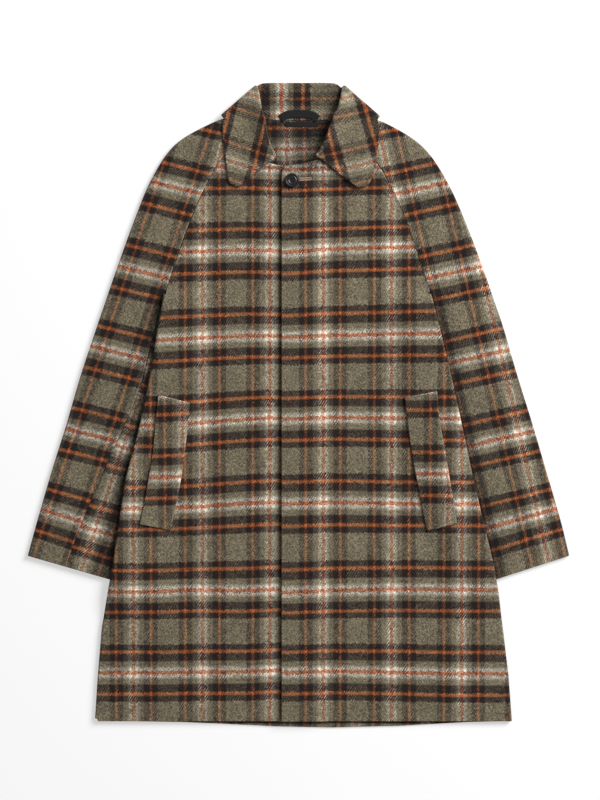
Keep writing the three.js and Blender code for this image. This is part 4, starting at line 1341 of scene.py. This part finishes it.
def wool_material(name, colours):
    """Brushed wool twill in the check.

    Two colour ramps give the yarns' colours over the distance from the nearest red line, one
    for each direction. A slanting wave shows more of one or the other, as twill does, and
    noise lightens and darkens the nap. Some warp yarns are lifted, so that they stay bright
    over dark wefts, and places where two pale yarns cross are made lighter. The colours are
    mixed as display values, and a Gamma node turns the result into light.
    """
    finish = Finish(name)
    colours = dict(colours, pale=tuple(WEFT_PALE * value for value in colours["cream"][:3]))
    cloth = finish.node("ShaderNodeUVMap", {"uv_map": "check"})
    parts = finish.node("ShaderNodeSeparateXYZ", {}, {0: finish.signal(cloth)})
    across, along = finish.signal(parts, 0), finish.signal(parts, 1)
    place = finish.place()
    fuzz = finish.noise(place, *FUZZ)
    cloud = finish.noise(place, *CLOUD)
    curl = finish.noise(place, *CURL)
    hairs = 1.0 - ((curl - 0.5).size() * 16.0).at_most(1.0)
    twill = ((across * TWILL_SLOPE + along) * (2 * math.pi / TWILL_PITCH)).sine()
    ragged = twill * EDGE_SHIFT["twill"] + (fuzz - 0.5) * EDGE_SHIFT["fuzz"]
    ragged = ragged + (curl - 0.5) * EDGE_SHIFT["curl"]
    warp_colours = {
        key: tuple(min(value * WARP_LIFT.get(key, 1.0), 1.0) for value in colour[:3])
        for key, colour in colours.items()
    }
    yarns = []
    for coordinate, repeat, stripes, dyed in (
        (across, WARP_REPEAT, WARP_STRIPES, warp_colours),
        (along, WEFT_REPEAT, WEFT_STRIPES, colours),
    ):
        turned = ((coordinate / repeat) + 100.5).fraction() - 0.5
        away = (turned.size() * repeat + ragged) / (repeat / 2)
        ramp_node = finish.node(
            "ShaderNodeValToRGB",
            {"stops": stripe_stops(stripes, dyed)},
            {0: away},
        )
        yarns.append(finish.signal(ramp_node))
    share = twill * (cloud * 1.2 - 0.46) + (curl - 0.5) * 1.2 + WARP_SHARE
    colour = finish.mix(share, yarns[1], yarns[0])
    both = finish.mix(1.0, yarns[1], yarns[0], "MULTIPLY")
    blue = finish.signal(finish.node("ShaderNodeSeparateColor", {}, {0: both}), 2)
    pale = (blue - PALE_OVER).at_least(0.0) * PALE_LIGHT
    # The edge attribute lightens the cloth along pieces' borders, and where it is negative it
    # darkens it as painted shade
    edge = finish.signal(finish.node("ShaderNodeAttribute", {"attribute_name": "edge"}), 2)
    light = (fuzz - 0.5) * NAP_LIGHT["fuzz"] + (cloud - 0.5) * NAP_LIGHT["cloud"]
    light = light + hairs * NAP_LIGHT["hairs"] + edge * NAP_LIGHT["edge"]
    light = light + pale + NAP_LIGHT["base"]
    grey = finish.node("ShaderNodeCombineColor", {}, {0: light, 1: light, 2: light})
    colour = finish.mix(1.0, colour, finish.signal(grey), "MULTIPLY")
    linear = finish.node("ShaderNodeGamma", {}, {0: colour, 1: 2.2})
    relief = fuzz * NAP_RELIEF["fuzz"] + hairs * NAP_RELIEF["hairs"]
    relief = relief + twill * NAP_RELIEF["twill"]
    return finish.surface(
        finish.signal(linear), 0.95, relief, Sheen_Weight=0.12, Sheen_Roughness=0.6,
        Specular_IOR_Level=0.2)


def tape_material(colour):
    """Black woven tape: fine ribs across its length."""
    finish = Finish("woven_tape")
    cloth = finish.node("ShaderNodeUVMap", {"uv_map": "check"})
    parts = finish.node("ShaderNodeSeparateXYZ", {}, {0: finish.signal(cloth)})
    rib = (finish.signal(parts, 0) * (2 * math.pi / 0.0011)).sine()
    weave = (finish.signal(parts, 1) * (2 * math.pi / 0.0008)).sine()
    fuzz = finish.noise(finish.place(), 1500.0)
    tone = rib * 0.25 + weave * 0.1 + fuzz * 0.5 + 0.75
    grey = finish.node("ShaderNodeCombineColor", {}, {0: tone, 1: tone, 2: tone})
    paint = finish.mix(1.0, (*colour, 1.0), finish.signal(grey), "MULTIPLY")
    relief = rib * 0.00012 + weave * 0.00004 + fuzz * 0.0001
    return finish.surface(paint, 0.8, relief, Specular_IOR_Level=0.3)


def button_material(colour):
    """Black moulded resin, softly glossy with faint wear."""
    finish = Finish("button_resin")
    cloud = finish.noise(finish.place(), 700.0, 4.0)
    paint = finish.mix(cloud * 0.35, (*colour, 1.0), (*[3.0 * c for c in colour], 1.0))
    return finish.surface(paint, cloud * 0.2 + 0.3, cloud * 0.00004, Specular_IOR_Level=0.5)


def thread_material(name, colour):
    """Sewing thread with a fine slanting twist."""
    finish = Finish(name)
    fuzz = finish.noise(finish.place(), 2500.0)
    paint = finish.mix(fuzz, (*[0.7 * c for c in colour], 1.0), (*colour, 1.0))
    return finish.surface(paint, 0.8, fuzz * 0.0001, Specular_IOR_Level=0.3)


class CoatSizes(bpy.types.PropertyGroup):
    """Sizes that a user may change."""

    light_size: bpy.props.FloatProperty(
        name="Light Size", description="Width of the studio light above the coat",
        default=2.2, min=0.2, max=5.0, unit="LENGTH")


class CoatColours(bpy.types.PropertyGroup):
    """Yarn and trim colours, the yarns as display values."""

    olive: bpy.props.FloatVectorProperty(
        name="Olive Yarn", description="The check's ground",
        subtype="COLOR_GAMMA", default=(0.463, 0.427, 0.349), min=0, max=1)
    dark: bpy.props.FloatVectorProperty(
        name="Dark Yarn", description="The dark brown stripes",
        subtype="COLOR_GAMMA", default=(0.135, 0.1, 0.09), min=0, max=1)
    orange: bpy.props.FloatVectorProperty(
        name="Orange Yarn", description="The narrow orange lines",
        subtype="COLOR_GAMMA", default=(0.665, 0.355, 0.185), min=0, max=1)
    cream: bpy.props.FloatVectorProperty(
        name="Cream Yarn", description="The light stripes beside the red line",
        subtype="COLOR_GAMMA", default=(0.82, 0.795, 0.735), min=0, max=1)
    red: bpy.props.FloatVectorProperty(
        name="Rust Yarn", description="The line between the light stripes",
        subtype="COLOR_GAMMA", default=(0.735, 0.42, 0.295), min=0, max=1)
    black: bpy.props.FloatVectorProperty(
        name="Black", description="Tape and button",
        subtype="COLOR", default=(0.011, 0.0105, 0.0105), min=0, max=1)
    thread: bpy.props.FloatVectorProperty(
        name="Buttonhole Thread", description="The stitches round the buttonhole",
        subtype="COLOR", default=(0.7, 0.49, 0.4), min=0, max=1)


def yarn_colours():
    """The yarns' colours as the scene's settings have them."""
    colours = bpy.context.scene.coat_colours
    names = ("olive", "dark", "orange", "cream", "red")
    return {name: tuple(getattr(colours, name)) for name in names}


def shared_wool():
    """The checked wool, made once."""
    found = bpy.data.materials.get("brushed_wool")
    return found or wool_material("brushed_wool", yarn_colours())


def shared_tape():
    """The black tape, made once."""
    found = bpy.data.materials.get("woven_tape")
    return found or tape_material(tuple(bpy.context.scene.coat_colours.black))


class COAT_OT_add_body(bpy.types.Operator):
    """Adds the back panel and both fronts."""

    bl_idname = "coat.add_body"
    bl_label = "Body"

    def execute(self, context):
        wool = shared_wool()
        back = back_piece(wool)
        left = front_piece("left", wool)
        right = front_piece("right", wool)
        return {"FINISHED"}


class COAT_OT_add_sleeves(bpy.types.Operator):
    """Adds each sleeve's upper and under panel."""

    bl_idname = "coat.add_sleeves"
    bl_label = "Sleeves"

    def execute(self, context):
        wool = shared_wool()
        for side, upper_area, under_wide, under_area in (
            ("left", 0.152, 0.125, 0.04),
            ("right", 0.156, 0.136, 0.035),
        ):
            upper, under = sleeve_pieces(side, wool)
        return {"FINISHED"}


class COAT_OT_add_collar(bpy.types.Operator):
    """Adds the collar's stand and fall as one turned piece."""

    bl_idname = "coat.add_collar"
    bl_label = "Collar"

    def execute(self, context):
        collar = collar_piece(shared_wool())
        return {"FINISHED"}


class COAT_OT_add_welts(bpy.types.Operator):
    """Adds the two slanted pocket welts."""

    bl_idname = "coat.add_welts"
    bl_label = "Pocket Welts"

    def execute(self, context):
        for side, flat, area in (
            ("left", (0.055, 0.223), 0.0122),
            ("right", (0.056, 0.231), 0.0129),
        ):
            welt = welt_piece(side, shared_wool())
        return {"FINISHED"}


class COAT_OT_add_tapes(bpy.types.Operator):
    """Adds the hanger loop and the plain label strip."""

    bl_idname = "coat.add_tapes"
    bl_label = "Loop and Label"

    def execute(self, context):
        tape = shared_tape()
        loop = loop_piece(tape)
        label = label_piece(tape)
        return {"FINISHED"}


class COAT_OT_add_button(bpy.types.Operator):
    """Adds the button, its thread and the worked buttonhole."""

    bl_idname = "coat.add_button"
    bl_label = "Button"

    def execute(self, context):
        colours = context.scene.coat_colours
        button_piece(button_material(tuple(colours.black)))
        button_thread(shared_tape())
        buttonhole_piece(thread_material("buttonhole_thread", tuple(colours.thread)))
        return {"FINISHED"}


class COAT_OT_add_sewing(bpy.types.Operator):
    """Adds the edge stitching."""

    bl_idname = "coat.add_sewing"
    bl_label = "Sewing"

    def execute(self, context):
        placket_stitches(thread_material("edge_thread", EDGE_THREAD))
        return {"FINISHED"}


class COAT_OT_add_stage(bpy.types.Operator):
    """Adds the pale floor, the lights and the camera straight above."""

    bl_idname = "coat.add_stage"
    bl_label = "Stage"

    def execute(self, context):
        scene = context.scene
        bpy.ops.mesh.primitive_plane_add(size=FLOOR_SIZE, location=(0, 0, -0.0004))
        floor = context.active_object
        floor.name = "floor"
        paper = Finish("pale_floor")
        cloud = paper.noise(paper.place(), 3.0)
        tone = cloud * 0.01 + FLOOR_TONE
        grey = paper.node("ShaderNodeCombineColor", {}, {0: tone, 1: tone, 2: tone})
        material = paper.surface(
            paper.signal(grey), 0.9, Specular_IOR_Level=0.0,
            Emission_Color=(1, 1, 1, 1), Emission_Strength=FLOOR_GLOW)
        floor.data.materials.append(material)
        add_light("key_light", KEY_LIGHT, KEY_POWER, scene.coat_sizes.light_size)
        add_light("fill_light", FILL_LIGHT, FILL_POWER, 2.4)
        world = bpy.data.worlds.new("pale_studio")
        world.use_nodes = True
        background = world.node_tree.nodes["Background"]
        background.inputs["Color"].default_value = (1, 1, 1, 1)
        background.inputs["Strength"].default_value = WORLD_LIGHT
        scene.world = world
        scene.view_settings.view_transform = "Standard"
        data = bpy.data.cameras.new("camera")
        data.lens = CAMERA_LENS
        data.sensor_width = CAMERA_SENSOR
        camera = bpy.data.objects.new("camera", data)
        camera.location = (VIEW_X, VIEW_Y, VIEW_LENGTH * CAMERA_LENS / CAMERA_SENSOR)
        scene.collection.objects.link(camera)
        scene.camera = camera
        return {"FINISHED"}


def add_light(name, place, power, size):
    """A square area light that points at the middle of the coat."""
    data = bpy.data.lights.new(name, "AREA")
    data.energy = power
    data.size = size
    light = bpy.data.objects.new(name, data)
    light.location = place
    light.rotation_euler = (-Vector(place)).to_track_quat("-Z", "Y").to_euler()
    bpy.context.scene.collection.objects.link(light)


OPERATORS = (
    COAT_OT_add_body,
    COAT_OT_add_sleeves,
    COAT_OT_add_collar,
    COAT_OT_add_welts,
    COAT_OT_add_tapes,
    COAT_OT_add_button,
    COAT_OT_add_sewing,
    COAT_OT_add_stage,
)


class COAT_PT_panel(bpy.types.Panel):
    """Lists the coat's settings and pieces."""

    bl_idname = "COAT_PT_panel"
    bl_label = "Overcoat"
    bl_space_type = "VIEW_3D"
    bl_region_type = "UI"
    bl_category = "Overcoat"

    def draw(self, context):
        layout = self.layout
        sizes, colours = context.scene.coat_sizes, context.scene.coat_colours
        for name in sizes.__annotations__:
            layout.prop(sizes, name)
        for name in colours.__annotations__:
            layout.prop(colours, name)
        for operator in OPERATORS:
            layout.operator(operator.bl_idname)


CLASSES = (CoatSizes, CoatColours, *OPERATORS, COAT_PT_panel)


def register():
    for cls in CLASSES:
        bpy.utils.register_class(cls)
    bpy.types.Scene.coat_sizes = bpy.props.PointerProperty(type=CoatSizes)
    bpy.types.Scene.coat_colours = bpy.props.PointerProperty(type=CoatColours)


def unregister():
    del bpy.types.Scene.coat_colours
    del bpy.types.Scene.coat_sizes
    for cls in reversed(CLASSES):
        bpy.utils.unregister_class(cls)


def main():
    """Builds the coat and the stage."""
    register()
    bpy.ops.coat.add_body()
    bpy.ops.coat.add_sleeves()
    bpy.ops.coat.add_collar()
    bpy.ops.coat.add_welts()
    bpy.ops.coat.add_tapes()
    bpy.ops.coat.add_button()
    bpy.ops.coat.add_sewing()
    bpy.ops.coat.add_stage()


if __name__ == "__main__":
    main()
